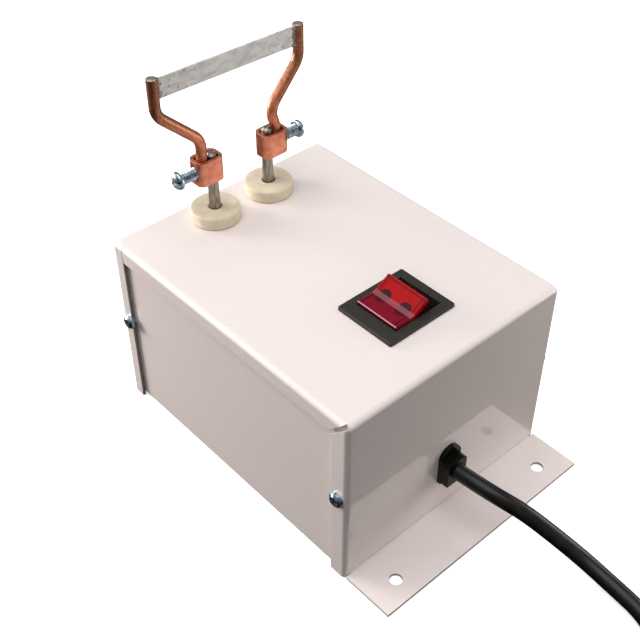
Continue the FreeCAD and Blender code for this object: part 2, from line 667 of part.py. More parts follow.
def make_clamp_screw(side, sign):
    """A slotted clamp screw that presses the arm against the post from the outer end of the lug."""
    height = f"{side}_lug_bottom + lug_height/2"
    name = f"{side}_clamp"
    far = "clamp_tip + clamp_length"
    right = side == "right"
    shank = rod(name + "_shank", "X", ("clamp_tip" if right else f"-({far})", "post_y", height),
                "clamp_radius", "clamp_length")
    rim = rod(name + "_rim", "X", (far if right else f"-({far} + 0.7*clamp_head_thick)", "post_y", height),
              "clamp_head_radius", "0.7*clamp_head_thick")
    radii = ("clamp_head_radius", "0.75*clamp_head_radius")
    crown = cone(name + "_crown", "X",
                 (f"{far} + 0.7*clamp_head_thick" if right else f"-({far} + clamp_head_thick)", "post_y", height),
                 *(radii if right else radii[::-1]), "0.3*clamp_head_thick")
    low = f"{far} + 0.4*clamp_head_thick"
    high = f"{far} + clamp_head_thick + 1"
    slot = span(name + "_slot", (low, high) if right else (f"-({high})", f"-({low})"),
                ("post_y - clamp_slot/2", "post_y + clamp_slot/2"),
                (f"{height} - 2*clamp_head_radius", f"{height} + 2*clamp_head_radius"))
    node(f"{side}_clamp_screw", cut(name + "_screw", joined(name + "_blank", shank, rim, crown), slot))


# The strip leans by the small difference between the tops of the arms.
STRIP_RUN = "(right_reach + left_reach + 2*strip_bite)"
STRIP_RISE = "(right_top - left_top)"


def strip_box(name, thick, below, above, past):
    """A box along the strip: the strip itself, or the saw slot that takes it."""
    made = doc.addObject("Part::Box", name)
    made.Placement = FreeCAD.Placement(V(), FreeCAD.Rotation(V(0, 1, 0), 1))
    tie(made, Length=f"sqrt({STRIP_RUN}^2 + {STRIP_RISE}^2) + 2*({past})", Width=thick,
        Height=f"strip_height + ({below}) + ({above})", Placement__Rotation__Angle=f"-atan2({STRIP_RISE}; {STRIP_RUN})")
    return place(made, f"-left_reach - strip_bite - ({past})", f"post_y - ({thick})/2",
                 f"left_top - strip_drop - strip_height - ({below})")


def make_arm(side, sign):
    """A bent copper rod from inside the lug to the end of the strip, with a saw slot in its top."""
    foot = f"{side}_lug_bottom + arm_foot_up"
    out = f"{sign}*arm_x"
    bar = tube(f"{side}_arm_rod", [
        (out, "post_y", foot), (out, "post_y", f"{side}_lug_bottom + lug_height + 1.8"),
        (f"{sign}*{side}_waist_x", "post_y", f"{side}_waist_z"),
        (f"{sign}*{side}_reach", "post_y", f"{side}_knee_z"),
        (f"{sign}*{side}_reach", "post_y", f"{side}_top"),
    ], "arm_radius", "arm_bend")
    slot = strip_box(f"{side}_arm_slot", "strip_thick + 2*fit_gap", "fit_gap", "2*strip_drop + 3", "fit_gap")
    node(f"{side}_arm", cut(f"{side}_arm_part", bar, slot))


def make_strip():
    """The thin resistance strip, edge up, that bridges the arms."""
    node("hot_strip", strip_box("strip_bar", "strip_thick", "0", "0", "0"))


# ---------------------------------------------------------------- switch


def make_switch_body():
    """Bezel and housing in one moulding, with hinge holes, snap catches and terminal slots."""
    body = new_body("bezel_body")
    face = new_sketch(body, "XY_Plane", "bezel_face")
    half_length = "(bezel_length/2)"
    half_width = "(bezel_width/2)"
    add_outline(face, [(f"-{half_length}", f"-{half_width}"), (half_length, f"-{half_width}"),
                       (half_length, half_width), (f"-{half_length}", half_width)])
    pad(body, face, "bezel_thick")
    round_edges(body, "bezel_round", lambda edge: runs_along(edge, 2))
    top = value("bezel_thick")
    round_edges(body, "bezel_thick/3", lambda edge: middle(edge).z > top - 1e-6)
    place(body, "0", "switch_y", "case_height")
    half = "(shell_length/2)"
    shell = span("shell", (f"-{half}", half), ("switch_y - shell_width/2", "switch_y + shell_width/2"),
                 ("shell_bottom", "case_height"))
    catches = [span(f"{side}_catch", edges, ("switch_y - 4", "switch_y + 4"),
                    ("case_height - stock - 3.2", "case_height - stock - 0.1"))
               for side, edges in (("right", (f"{half} - 1", f"{half} + catch_reach")),
                                   ("left", (f"-{half} - catch_reach", f"-{half} + 1")))]
    mouth = span("mouth", ("hinge_x - mouth_length/2", "hinge_x + mouth_length/2"),
                 ("switch_y - mouth_width/2", "switch_y + mouth_width/2"),
                 ("shell_bottom + shell_floor", "case_height + bezel_thick + 1"))
    hinge = rod("hinge_holes", "Y", ("hinge_x", "switch_y - shell_width/2 - 1", "hinge_z"),
                "hinge_radius + fit_gap", "shell_width + 2")
    slots = [span(f"{name}_slot", (f"{x} - blade_thick/2 - fit_gap", f"{x} + blade_thick/2 + fit_gap"),
                  (f"{y} - blade_width/2 - fit_gap", f"{y} + blade_width/2 + fit_gap"),
                  ("shell_bottom - 1", "shell_bottom + shell_floor + 1"))
             for name, x, y in blade_places()]
    node("switch_body", cut("switch_part", joined("switch_blank", body, shell, *catches), mouth, hinge, *slots))


def blade_places():
    """Name, x and y of each spade terminal: a centre one and an end one for each pole."""
    return [(f"{pole}_{end}_blade", x, y)
            for pole, y in (("front", "(switch_y - pole_pitch/2)"), ("rear", "(switch_y + pole_pitch/2)"))
            for end, x in (("centre", "hinge_x"), ("end", "(hinge_x + blade_pitch)"))]


def rocked(thing, y="switch_y"):
    """Puts a piece drawn about the hinge axis at the rocker's resting tilt."""
    thing.Placement = FreeCAD.Placement(V(), FreeCAD.Rotation(V(0, 1, 0), 1))
    tie(thing, Placement__Rotation__Angle="rocker_tilt")
    return place(thing, "hinge_x", y, "hinge_z")


def make_rocker():
    """Hollow translucent rocker with a shallow vee top, open below, and two stub hinge pins."""
    peak = "(valley_height + (rocker_half - valley_flat)*tan(rocker_vee))"
    body = new_body("rocker_body")
    outer = new_sketch(body, "XZ_Plane", "rocker_outer")
    add_outline(outer, [
        ("valley_flat", "valley_height"), ("rocker_half", peak), ("rocker_half + 1.3", "valley_height/2"),
        ("rocker_half + 0.7", "1.5"), ("3", "-2.5"), ("-3", "-2.5"), ("-rocker_half - 0.7", "1.5"),
        ("-rocker_half - 1.3", "valley_height/2"), ("-rocker_half", peak), ("-valley_flat", "valley_height"),
    ])
    pad(body, outer, "rocker_width", centred=True)
    inner = new_sketch(body, "XZ_Plane", "rocker_inner")
    add_outline(inner, [
        ("valley_flat", "valley_height - rocker_skin"), ("rocker_half - rocker_skin", f"{peak} - 1.5*rocker_skin"),
        ("rocker_half + 1.3 - rocker_skin", "valley_height/2"), ("rocker_half + 0.7 - rocker_skin", "-4"),
        ("-rocker_half - 0.7 + rocker_skin", "-4"), ("-rocker_half - 1.3 + rocker_skin", "valley_height/2"),
        ("-rocker_half + rocker_skin", f"{peak} - 1.5*rocker_skin"), ("-valley_flat", "valley_height - rocker_skin"),
    ])
    made = body.newObject("PartDesign::Pocket", "rocker_hollow")
    made.Profile = inner
    made.Midplane = True
    tie(made, Length="rocker_width - 2*rocker_skin")
    shell = rocked(body)
    pin_reach = "(shell_width/2 - rocker_width/2 - 0.4)"
    pins = [rod(f"{end}_hinge_pin", "Y", ("hinge_x", start, "hinge_z"), "hinge_radius", f"{pin_reach} + 0.4")
            for end, start in (("front", f"switch_y - rocker_width/2 - {pin_reach}"),
                               ("rear", "switch_y + rocker_width/2 - 0.4"))]
    node("rocker", joined("rocker_part", shell, *pins))


def make_rocker_inside():
    """Plungers, their springs and the neon lamp, which all tilt with the rocker."""
    plungers = []
    springs = []
    for end, sign in (("front", "-1"), ("rear", "1")):
        y = f"switch_y + {sign}*pole_pitch/2"
        stem = rod(f"{end}_plunger_stem", "Z", ("0", "0", "-plunger_tip + 1.2"), "plunger_radius",
                   "plunger_rim + plunger_tip - 1.2")
        nose = cone(f"{end}_plunger_nose", "Z", ("0", "0", "-plunger_tip"), "0.5", "plunger_radius", "1.2")
        bore = rod(f"{end}_plunger_bore", "Z", ("0", "0", "-1.4"), "plunger_bore", "plunger_rim + 3")
        plungers.append(rocked(cut(f"{end}_plunger", joined(f"{end}_plunger_blank", stem, nose), bore), y))
        helix = Part.makeHelix(value("spring_pitch"), value("spring_length"), value("spring_radius"))
        round_wire = swept(Part.Wire(helix.Edges), V(value("spring_radius"), 0, 0), V(0, 1, 0.17), value("spring_wire"))
        spring = doc.addObject("Part::Feature", f"{end}_spring")
        spring.Shape = round_wire
        lift = FreeCAD.Placement(V(0, 0, -1.1), FreeCAD.Rotation())
        tilt = FreeCAD.Rotation(V(0, 1, 0), value("rocker_tilt"))
        spring.Placement = FreeCAD.Placement(V(value("hinge_x"), value(y), value("hinge_z")), tilt) * lift
        springs.append(spring)
    node("switch_plungers", group("plunger_set", *plungers))
    node("plunger_springs", group("spring_set", *springs))
    lamp = rod("lamp_glass", "X", ("-lamp_length/2", "0", "valley_height/2"), "lamp_radius", "lamp_length")
    node("neon_lamp", rocked(group("lamp_tilted", lamp)))


def make_contacts():
    """Two contact levers on their centre terminals, tilted by the plungers, and four spade terminals."""
    levers = []
    for pole, sign in (("front", "-1"), ("rear", "1")):
        arm = span(f"{pole}_lever_bar", ("-lever_length/2", "lever_length/2"), ("-lever_width/2", "lever_width/2"),
                   ("0", "lever_thick"))
        pad_end = rod(f"{pole}_lever_contact", "Z", ("lever_length/2 - 1", "0", "-0.5"), "0.9", "0.8")
        bead = rod(f"{pole}_lever_bead", "Y", ("0", "-lever_width/2", "0"), "0.3", "lever_width")
        lever = joined(f"{pole}_lever", arm, pad_end, bead)
        lever.Placement = FreeCAD.Placement(V(), FreeCAD.Rotation(V(0, -1, 0), 1))
        tie(lever, Placement__Rotation__Angle="lever_tilt")
        levers.append(place(lever, "hinge_x", f"switch_y + {sign}*pole_pitch/2", "lever_z"))
    node("contact_levers", group("lever_set", *levers))
    blades = []
    for name, x, y in blade_places():
        high = "lever_z - 0.3" if "centre" in name else "lever_z - 0.9 - lever_length/2*sin(lever_tilt)"
        blades.append(span(name, (f"{x} - blade_thick/2", f"{x} + blade_thick/2"),
                           (f"{y} - blade_width/2", f"{y} + blade_width/2"), ("blade_bottom", high)))
    node("switch_terminals", group("blade_set", *blades))
    sleeves = []
    for name, x, y in blade_places():
        outer = span(name + "_sleeve", (f"{x} - sleeve_thick/2", f"{x} + sleeve_thick/2"),
                     (f"{y} - sleeve_width/2", f"{y} + sleeve_width/2"),
                     ("blade_bottom - 2.4", "blade_bottom - 2.4 + sleeve_length"))
        mouth = span(name + "_mouth", (f"{x} - blade_thick/2 - fit_gap", f"{x} + blade_thick/2 + fit_gap"),
                     (f"{y} - blade_width/2 - fit_gap", f"{y} + blade_width/2 + fit_gap"),
                     ("blade_bottom", "blade_bottom + sleeve_length"))
        sleeves.append(cut(name + "_receptacle", outer, mouth))
    node("spade_receptacles", group("sleeve_set", *sleeves))


# ---------------------------------------------------------------- transformer


def make_core():
    """Stack of laminations with two windows, its pad, and the strap frame that holds it down."""
    body = new_body("core_body")
    sheet = new_sketch(body, "XZ_Plane", "lamination")
    add_outline(sheet, [("-3*pitch", "0"), ("3*pitch", "0"), ("3*pitch", "5*pitch"), ("-3*pitch", "5*pitch")])
    for _, sign in SIDES:
        add_outline(sheet, [(f"{sign}*pitch", "pitch"), (f"{sign}*2*pitch", "pitch"),
                            (f"{sign}*2*pitch", "4*pitch"), (f"{sign}*pitch", "4*pitch")])
    pad(body, sheet, "core_depth", centred=True)
    place(body, "0", "core_y", "core_bottom")
    node("laminations", body)
    node("core_pad", span("core_pad_sheet", ("-3*pitch", "3*pitch"), ("core_y - core_depth/2", "core_y + core_depth/2"),
                          ("stock", "core_bottom")))
    inner = "(3*pitch + frame_play)"
    outer = f"({inner} + frame_stock)"
    width = ("core_y - frame_width/2", "core_y + frame_width/2")
    roof = span("frame_roof", (f"-{outer}", outer), width, ("core_top + frame_play", "core_top + frame_play + frame_stock"))
    parts = [roof]
    holes = []
    for side, sign in SIDES:
        right = side == "right"
        leg = (inner, outer) if right else (f"-{outer}", f"-{inner}")
        foot = (inner, f"{outer} + foot_room") if right else (f"-{outer} - foot_room", f"-{inner}")
        parts.append(span(f"frame_{side}_leg", leg, width, ("stock", "core_top + frame_play + frame_stock")))
        parts.append(span(f"frame_{side}_foot", foot, width, ("stock", "stock + frame_stock")))
        holes.append(rod(f"frame_{side}_hole", "Z", (f"{sign}*stud_x", "core_y", "0"), "stud_radius + 0.2", "5"))
    node("core_frame", cut("frame_part", joined("frame_blank", *parts), *holes))
    studs = [rod(f"{side}_stud", "Z", (f"{sign}*stud_x", "core_y", "stock"), "stud_radius", "stud_length")
             for side, sign in SIDES]
    node("core_studs", group("stud_set", *studs))
    nuts = []
    for side, sign in SIDES:
        blank = hexagon(f"{side}_nut_blank", (f"{sign}*stud_x", "core_y", "stock + frame_stock"), "nut_flats", "nut_thick")
        bore = rod(f"{side}_nut_bore", "Z", (f"{sign}*stud_x", "core_y", "0"), "stud_radius + fit_gap", "20")
        nuts.append(cut(f"{side}_nut", blank, bore))
    node("core_nuts", group("nut_set", *nuts))


def ring_round_limb(name, inner_gap, thick, low, high):
    """A rectangular ring round the middle limb, from one wall thickness to the next."""
    outer = span(name + "_outer", (f"-pitch - {inner_gap} - {thick}", f"pitch + {inner_gap} + {thick}"),
                 (f"core_y - core_depth/2 - {inner_gap} - {thick}", f"core_y + core_depth/2 + {inner_gap} + {thick}"),
                 (low, high))
    inner = span(name + "_inner", (f"-pitch - {inner_gap}", f"pitch + {inner_gap}"),
                 (f"core_y - core_depth/2 - {inner_gap}", f"core_y + core_depth/2 + {inner_gap}"),
                 (f"{low} - 1", f"{high} + 1"))
    return cut(name, outer, inner)


def make_windings():
    """Bobbin, primary winding, insulating wrap, and the single-turn secondary bar with its two feet."""
    low = "(core_bottom + pitch + bobbin_play)"
    high = "(core_bottom + 4*pitch - bobbin_play)"
    tube_part = ring_round_limb("bobbin_tube", "bobbin_play", "bobbin_wall", low, high)
    flanges = []
    for end, start in (("lower", low), ("upper", f"({high} - bobbin_wall)")):
        plate = span(f"{end}_flange_plate", ("-2*pitch + 0.4", "2*pitch - 0.4"),
                     ("core_y - bobbin_flange", "core_y + bobbin_flange"), (start, f"{start} + bobbin_wall"))
        hole = span(f"{end}_flange_hole", ("-pitch - bobbin_play", "pitch + bobbin_play"),
                    ("core_y - core_depth/2 - bobbin_play", "core_y + core_depth/2 + bobbin_play"),
                    (f"{start} - 1", f"{start} + bobbin_wall + 1"))
        flanges.append(cut(f"{end}_flange", plate, hole))
    node("bobbin", joined("bobbin_part", tube_part, *flanges))
    under = f"({low} + bobbin_wall + fit_gap)"
    over = f"({high} - bobbin_wall - fit_gap)"
    node("primary_winding", ring_round_limb("winding_part", "(bobbin_play + bobbin_wall + fit_gap)",
                                            "(winding_thick - fit_gap)", under, over))
    node("winding_wrap", ring_round_limb("wrap_part", "(wound - wrap_thick + fit_gap/2)", "(wrap_thick - fit_gap/2)",
                                         under, over))
    inner = "(coil_side + bar_play)"
    outer = f"({inner} + bar_thick)"
    back = "(core_y + coil_end + bar_play)"
    rise = ("bar_middle - bar_height/2", "bar_middle + bar_height/2")
    bars = [span("rear_crossing", (f"-{outer}", outer), (back, f"{back} + bar_thick"), rise)]
    for side, sign in SIDES:
        def both(low_x, high_x):
            return (low_x, high_x) if side == "right" else (f"-({high_x})", f"-({low_x})")
        bars.append(span(f"{side}_leg", both(inner, outer), ("riser_y - bar_thick", f"{back} + bar_thick"), rise))
        bars.append(span(f"{side}_turn_in", both("post_x - riser_width/2", outer), ("riser_y - bar_thick", "riser_y"), rise))
        bars.append(span(f"{side}_riser", both("post_x - riser_width/2", "post_x + riser_width/2"),
                         ("riser_y - bar_thick", "riser_y"), (rise[0], "foot_top")))
        bars.append(span(f"{side}_foot", both("post_x - foot_width/2", "post_x + foot_width/2"),
                         ("post_y - foot_front", "riser_y"), ("foot_top - foot_thick", "foot_top")))
    bores = [rod(f"{side}_foot_bore", "Z", (f"{sign}*post_x", "post_y", "foot_top - 2*foot_thick"),
                 "post_base_radius + fit_gap", "3*foot_thick") for side, sign in SIDES]
    node("secondary_bar", cut("secondary_part", joined("secondary_blank", *bars), *bores))


# ---------------------------------------------------------------- mains side


def make_strain_relief():
    """Black moulded strain relief that grips the cord in the rear wall."""
    flange = relief_profile("relief_flange_part", "0", "rear", "rear + relief_flange")
    neck = relief_profile("relief_neck_part", "relief_neck", "rear - stock - 0.2", "rear + 0.2")
    lock = relief_profile("relief_lock", "-0.2", "rear - stock - 1.8", "rear - stock")
    half = "(relief_width/2 - 0.15)"
    body = new_body("relief_head")
    section = new_sketch(body, "XZ_Plane", "relief_section")
    add_outline(section, [
        (f"-{half}", "-relief_below + 0.7"), (half, "-relief_below + 0.7"), (half, "relief_above - 0.9"),
        (f"{half} - 1.6", "relief_above + 0.4"), (f"-{half} + 1.6", "relief_above + 0.4"),
        (f"-{half}", "relief_above - 0.9"),
    ])
    pad(body, section, "relief_reach", centred=True)
    place(body, "relief_x", "rear + relief_reach/2", "relief_z")
    stem = rod("relief_stem", "Y", ("relief_x", "inner_face", "relief_z"), "cord_radius + 1.6", "relief_inside - 1")
    bore = rod("relief_bore", "Y", ("relief_x", "inner_face - 1", "relief_z"), "cord_radius + fit_gap",
               "relief_inside + stock + relief_reach + 2")
    node("strain_relief", cut("relief_part", joined("relief_blank", flange, neck, lock, body, stem), bore))
    node("cord_tail", rod("cord_tail_rod", "Y", ("relief_x", "inner_face - tail_length", "relief_z"), "cord_radius",
                          "relief_inside + stock + relief_reach + tail_length"))


def make_inner_wires():
    """Line, neutral and earth wires from the cord, and two leads from the switch to the primary."""
    start = "inner_face - tail_length"
    plug_in = "blade_bottom - 2.4"
    front_pole = "switch_y - pole_pitch/2"
    rear_pole = "switch_y + pole_pitch/2"
    far = "hinge_x + blade_pitch"
    node("line_wire", tube("line_wire_tube", [
        ("relief_x + 1.6", start, "relief_z + 1"), ("relief_x + 1.6", f"{start} - 5", "relief_z + 1"),
        (far, rear_pole, "relief_z + 7"), (far, rear_pole, plug_in),
    ], "wire_radius"))
    node("neutral_wire", tube("neutral_wire_tube", [
        ("relief_x - 1.6", start, "relief_z + 1"), ("relief_x - 1.6", f"{start} - 6", "relief_z + 1"),
        ("relief_x", f"{front_pole} + 4", "relief_z + 2.4"), (far, front_pole, "relief_z + 9"),
        (far, front_pole, plug_in),
    ], "wire_radius"))
    node("earth_wire", tube("earth_wire_tube", [
        ("relief_x", start, "relief_z - 1.7"), ("relief_x", f"{start} - 5", "relief_z - 1.7"),
        ("relief_x + 8", "rear - earth_from_rear + 5", "relief_z - 11"),
        ("earth_x - ring_radius - 11", "rear - earth_from_rear", "stock + 1.6"),
        ("earth_x - ring_radius - 2", "rear - earth_from_rear", "stock + 1.6"),
    ], "wire_radius"))
    lead_z = "bar_middle + bar_height/2 + 3.6"
    coil_face = "core_y + coil_end"
    node("rear_primary_lead", tube("rear_lead_tube", [
        ("hinge_x", rear_pole, plug_in), ("hinge_x", rear_pole, f"{plug_in} - 6"),
        ("hinge_x - 7", "switch_y - 6", f"{plug_in} - 8"), ("hinge_x - 12", f"{coil_face} + 8", lead_z),
        ("hinge_x - 12", f"{coil_face} + 0.1", lead_z),
    ], "wire_radius"))
    node("front_primary_lead", tube("front_lead_tube", [
        ("hinge_x", front_pole, plug_in), ("hinge_x", front_pole, f"{plug_in} - 5"),
        ("hinge_x + 5", f"{front_pole} - 6", f"{plug_in} - 6"), ("hinge_x + 11", f"{coil_face} + 6", lead_z),
        ("hinge_x + 11", f"{coil_face} + 0.1", lead_z),
    ], "wire_radius"))


def make_earth():
    """Earth stud welded to the floor, with the ring terminal and its nut."""
    spot = ("earth_x", "rear - earth_from_rear")
    node("earth_stud", rod("earth_stud_rod", "Z", (*spot, "stock"), "stud_radius", "stud_length"))
    ring = rod("ring_plate", "Z", (*spot, "stock"), "ring_radius", "ring_thick")
    barrel = rod("ring_barrel", "X", ("earth_x - ring_radius - 2", spot[1], "stock + 1.6"), "1.5", "2.4")
    bore = rod("ring_bore", "Z", (*spot, "0"), "stud_radius + fit_gap", "10")
    node("earth_ring", cut("ring_part", joined("ring_blank", ring, barrel), bore))
    blank = hexagon("earth_nut_blank", (*spot, "stock + ring_thick"), "nut_flats - 1", "nut_thick")
    node("earth_nut", cut("earth_nut_part", blank, rod("earth_nut_bore", "Z", (*spot, "0"), "stud_radius + fit_gap", "20")))


# Route of the free cord, chosen by hand: out of the strain relief, down over the lip, along the table.
CORD_ROUTE = [
    ("relief_x", "rear + relief_reach", "relief_z"), ("0.3", "66.5", "22.8"), ("-1.8", "74.6", "21.2"),
    ("-5.9", "83.5", "17.7"), ("-10.1", "93.5", "11.7"), ("-13.6", "105.0", "6.1"), ("-14.2", "118.0", "3.2"),
    ("-12.6", "133.0", "3.2"), ("-4.0", "148.5", "3.2"), ("10.5", "163.0", "3.2"), ("16.1", "184.0", "3.2"),
]


def make_cord():
    """The free cord, the outer shape of its put-away coil, and the three-pin plug that lies on the coil."""
    node("cord", tube("cord_tube", CORD_ROUTE, "cord_radius"))
    spot = ("coil_x", "coil_y")
    disc = rod("coil_disc", "Z", (*spot, "0"), "coil_turn + coil_half", "coil_height")
    eye = rod("coil_eye", "Z", (*spot, "-1"), "coil_turn - coil_half", "coil_height + 2")
    node("cord_coil", cut("coil_part", disc, eye))
    axis_y = "(coil_y + 26.5)"
    axis_z = "(coil_height + plug_height/2)"
    wide_end = "(coil_x + 21 - neck_length)"
    neck = cone("plug_neck", "X", (wide_end, axis_y, axis_z), "neck_wide", "neck_thin", "neck_length")
    shell = new_body("plug_shell")
    face = new_sketch(shell, "YZ_Plane", "plug_face")
    add_outline(face, [("-plug_width/2", "-plug_height/2"), ("plug_width/2", "-plug_height/2"),
                       ("plug_width/2", "plug_height/2"), ("-plug_width/2", "plug_height/2")])
    pad(shell, face, "plug_length", centred=True)
    round_edges(shell, "plug_round", lambda edge: True)
    front = f"({wide_end} - plug_length)"
    place(shell, f"{front} + plug_length/2", axis_y, axis_z)
    node("plug_body", joined("plug_part", neck, shell))
    blades = [span(f"{side}_plug_blade", (f"{front} - pin_length", front),
                   (f"{axis_y} + {sign}*pin_pitch/2 - pin_thick/2", f"{axis_y} + {sign}*pin_pitch/2 + pin_thick/2"),
                   (f"{axis_z} - 1.5 - pin_width/2", f"{axis_z} - 1.5 + pin_width/2"))
              for side, sign in SIDES]
    earth = rod("earth_pin", "X", (f"{front} - pin_length - 2", axis_y, f"{axis_z} + 5.4"), "earth_pin_radius",
                "pin_length + 2")
    node("plug_pins", group("pin_set", *blades, earth))


# ---------------------------------------------------------------- build, check and write


def build():
    make_cover()
    make_chassis()
    make_cover_screws()
    for side, sign in SIDES:
        make_posts(side, sign)
        make_lug(side, sign)
        make_clamp_screw(side, sign)
        make_arm(side, sign)
    make_strip()
    make_switch_body()
    make_rocker()
    make_rocker_inside()
    make_contacts()
    make_core()
    make_windings()
    make_strain_relief()
    make_inner_wires()
    make_earth()
    make_cord()
    doc.recompute()


def check_and_write():
    """Stops on any failed object or bad solid, then writes one STEP file for each sub-part."""
    failed = [thing.Name for thing in doc.Objects if {"Invalid", "Error"} & set(thing.State)]
    if failed:
        raise RuntimeError(f"these objects failed: {failed}")
    for thing in NODES:
        if thing.Shape.isNull() or not thing.Shape.isValid() or not thing.Shape.Solids:
            raise RuntimeError(f"{thing.Label} has no valid solid")
    os.makedirs("parts", exist_ok=True)
    for thing in NODES:
        thing.Shape.exportStep(os.path.join("parts", thing.Label + ".step"))
        print(f"{thing.Label}: {len(thing.Shape.Solids)} solid(s), {thing.Shape.Volume / 1000:.3f} cm3")


build()
check_and_write()
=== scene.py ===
# %% [markdown]
# # A small bench welder, dressed in Blender
# The engineering model already fixes every size, so this lesson only adds looks: paint, ceramic,
# copper, a translucent switch, real screw threads and a mains cord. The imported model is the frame,
# in metres, with +Z up, -Y the front with the posts, and +Y the rear with the lip and the cord.

import bpy
import numpy as np
from mathutils import Matrix, Vector


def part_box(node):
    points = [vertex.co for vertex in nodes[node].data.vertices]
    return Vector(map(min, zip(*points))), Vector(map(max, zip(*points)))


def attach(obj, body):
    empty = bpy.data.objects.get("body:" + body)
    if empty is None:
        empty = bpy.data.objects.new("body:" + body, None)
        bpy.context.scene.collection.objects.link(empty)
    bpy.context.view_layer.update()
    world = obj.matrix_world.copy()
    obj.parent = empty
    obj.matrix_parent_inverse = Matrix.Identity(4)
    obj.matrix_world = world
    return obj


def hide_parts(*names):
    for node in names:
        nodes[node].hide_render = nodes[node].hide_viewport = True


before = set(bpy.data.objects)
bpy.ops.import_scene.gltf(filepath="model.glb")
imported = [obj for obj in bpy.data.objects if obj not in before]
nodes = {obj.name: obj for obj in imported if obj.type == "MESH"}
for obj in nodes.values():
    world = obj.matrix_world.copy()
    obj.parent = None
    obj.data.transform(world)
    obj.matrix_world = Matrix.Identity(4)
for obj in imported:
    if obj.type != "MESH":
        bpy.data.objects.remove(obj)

scene = bpy.context.scene
MM = 0.001
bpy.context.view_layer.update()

# %% [markdown]
# ## The camera
# The camera stands behind, to the right and above, about 40 cm from the box. A camera looks along
# its own -Z, so its matrix is built from three directions: right, up and backwards. The lens is a
# short telephoto, which keeps the upright edges nearly parallel.

# %% Camera
EYE = (0.2058, 0.2130, 0.3177)
SENSOR_MM = 36
LENS_MM = 60.88
camera_data = bpy.data.cameras.new("product_camera")
camera = bpy.data.objects.new("product_camera", camera_data)
scene.collection.objects.link(camera)
right = Vector((-0.743, 0.6693, -0.0015)).normalized()
back = Vector((0.5005, 0.5571, 0.6627)).normalized()
up = back.cross(right).normalized()
turn = Matrix((right, up, back)).transposed()
camera.matrix_world = Matrix.Translation(EYE) @ turn.to_4x4()
camera_data.sensor_width = SENSOR_MM
camera_data.lens = LENS_MM
camera_data.clip_start = 0.01
scene.camera = camera
print("camera right, up, back:", [[round(c, 3) for c in v] for v in (right, up, back)])

# %% [markdown]
# ## The mains cord
# The cord is a fixed length of three-core flex, 1.8 m by 6.2 mm. It leaves the strain relief
# level, droops over the lip, and runs along the table. What isn't needed is wound into a flat coil,
# four turns wide and two layers high, with the plug lying on top. One NURBS curve does it all,
# because it passes smoothly by its control points and Blender gives it a round section by itself.
# The section's radius is the points' radius times the bevel depth, so the depth is left at 1.
#
# The coil is wound as a hand winds it. The lower layer spirals inwards. Its last turn rolls up
# over its neighbour, and the upper layer spirals outwards on top. A turn that rolls over its
# neighbour stays one diameter from it, so its place is the neighbour's place plus one diameter
# along a direction that swings from level to straight up.

# %% Cord and coil
ROUTE = [(1.2, 58, 23.0), (0.3, 66.5, 22.8), (-1.8, 74.6, 21.2), (-5.9, 83.5, 17.7),
         (-10.1, 93.5, 11.7), (-13.6, 105, 6.1), (-14.2, 118, 3.2), (-12.6, 133, 3.2),
         (-4, 148.5, 3.2), (10.5, 163, 3.2), (16.1, 184, 3.2)]
RUN_TO_PLUG = [(17.5, 194, 10.2), (15.4, 203.5, 13.0), (8.5, 210.8, 17.0), (-1.5, 214, 20.4),
               (-11, 214.5, 22.3), (-19, 214.5, 22.7)]
COIL_CENTRE = (-31.0, 188.0)
CORD_RADIUS = 3.1
PITCH = 6.3
TURNS = 7
POINTS_PER_TURN = 16


def wind_coil(outer=47.4, low=3.2, first=-0.035):
    """Control points of the coil, in mm. Each turn is radius and height against its own angle t in
    [0, 1): turns 1-3 lose one pitch a turn; turn 4 is turn 3 plus one pitch at a slope that swings
    from level inwards to straight up; turn 5 keeps one pitch from turn 4 at the upper height; the
    rest gain one pitch. outer is the first radius, low the lower height, first the starting turn."""
    t = np.arange(POINTS_PER_TURN) / POINTS_PER_TURN
    rows = []
    for number in range(3):
        rows.append((outer - PITCH * (number + t), np.full_like(t, low)))
    swing = t * np.pi / 2
    rows.append((rows[2][0] - PITCH * np.cos(swing), low + PITCH * np.sin(swing)))
    high = low + PITCH
    rows.append((rows[3][0] + np.sqrt(PITCH ** 2 - (high - rows[3][1]) ** 2), np.full_like(t, high)))
    for number in range(3):
        rows.append((rows[4][0] + PITCH * (number + 1), np.full_like(t, high)))
    radius = np.concatenate([row[0] for row in rows])
    height = np.concatenate([row[1] for row in rows])
    angle = 2 * np.pi * (first + np.arange(len(radius)) / POINTS_PER_TURN)
    x = COIL_CENTRE[0] + radius * np.cos(angle)
    y = COIL_CENTRE[1] + radius * np.sin(angle)
    return np.stack([x, y, height], axis=1)[1:TURNS * POINTS_PER_TURN + 1]


cord_points = np.concatenate([np.array(ROUTE), wind_coil(), np.array(RUN_TO_PLUG)]) * MM
cord_curve = bpy.data.curves.new("mains_cord", "CURVE")
cord_curve.dimensions = "3D"
spline = cord_curve.splines.new("NURBS")
spline.points.add(len(cord_points) - 1)
spline.points.foreach_set("co", np.column_stack([cord_points, np.ones(len(cord_points))]).ravel())
spline.points.foreach_set("radius", np.full(len(cord_points), CORD_RADIUS * MM))
spline.order_u = 3
spline.use_endpoint_u = True
spline.resolution_u = 6
cord_curve.bevel_depth = 1.0
cord_curve.bevel_resolution = 6
cord_curve.use_fill_caps = True
mains_cord = bpy.data.objects.new("mains_cord", cord_curve)
scene.collection.objects.link(mains_cord)
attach(mains_cord, "base")
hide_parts("cord", "cord_coil")
print("cord control points:", len(cord_points))

# %% [markdown]
# ## Meshes from formulas
# Every new piece here is a surface worked out as whole numpy arrays: a grid of points with one row
# for each step along the piece and one column for each step around it. This helper turns the grid
# into a mesh, closes it round the columns, and closes each end with a fan to its middle.

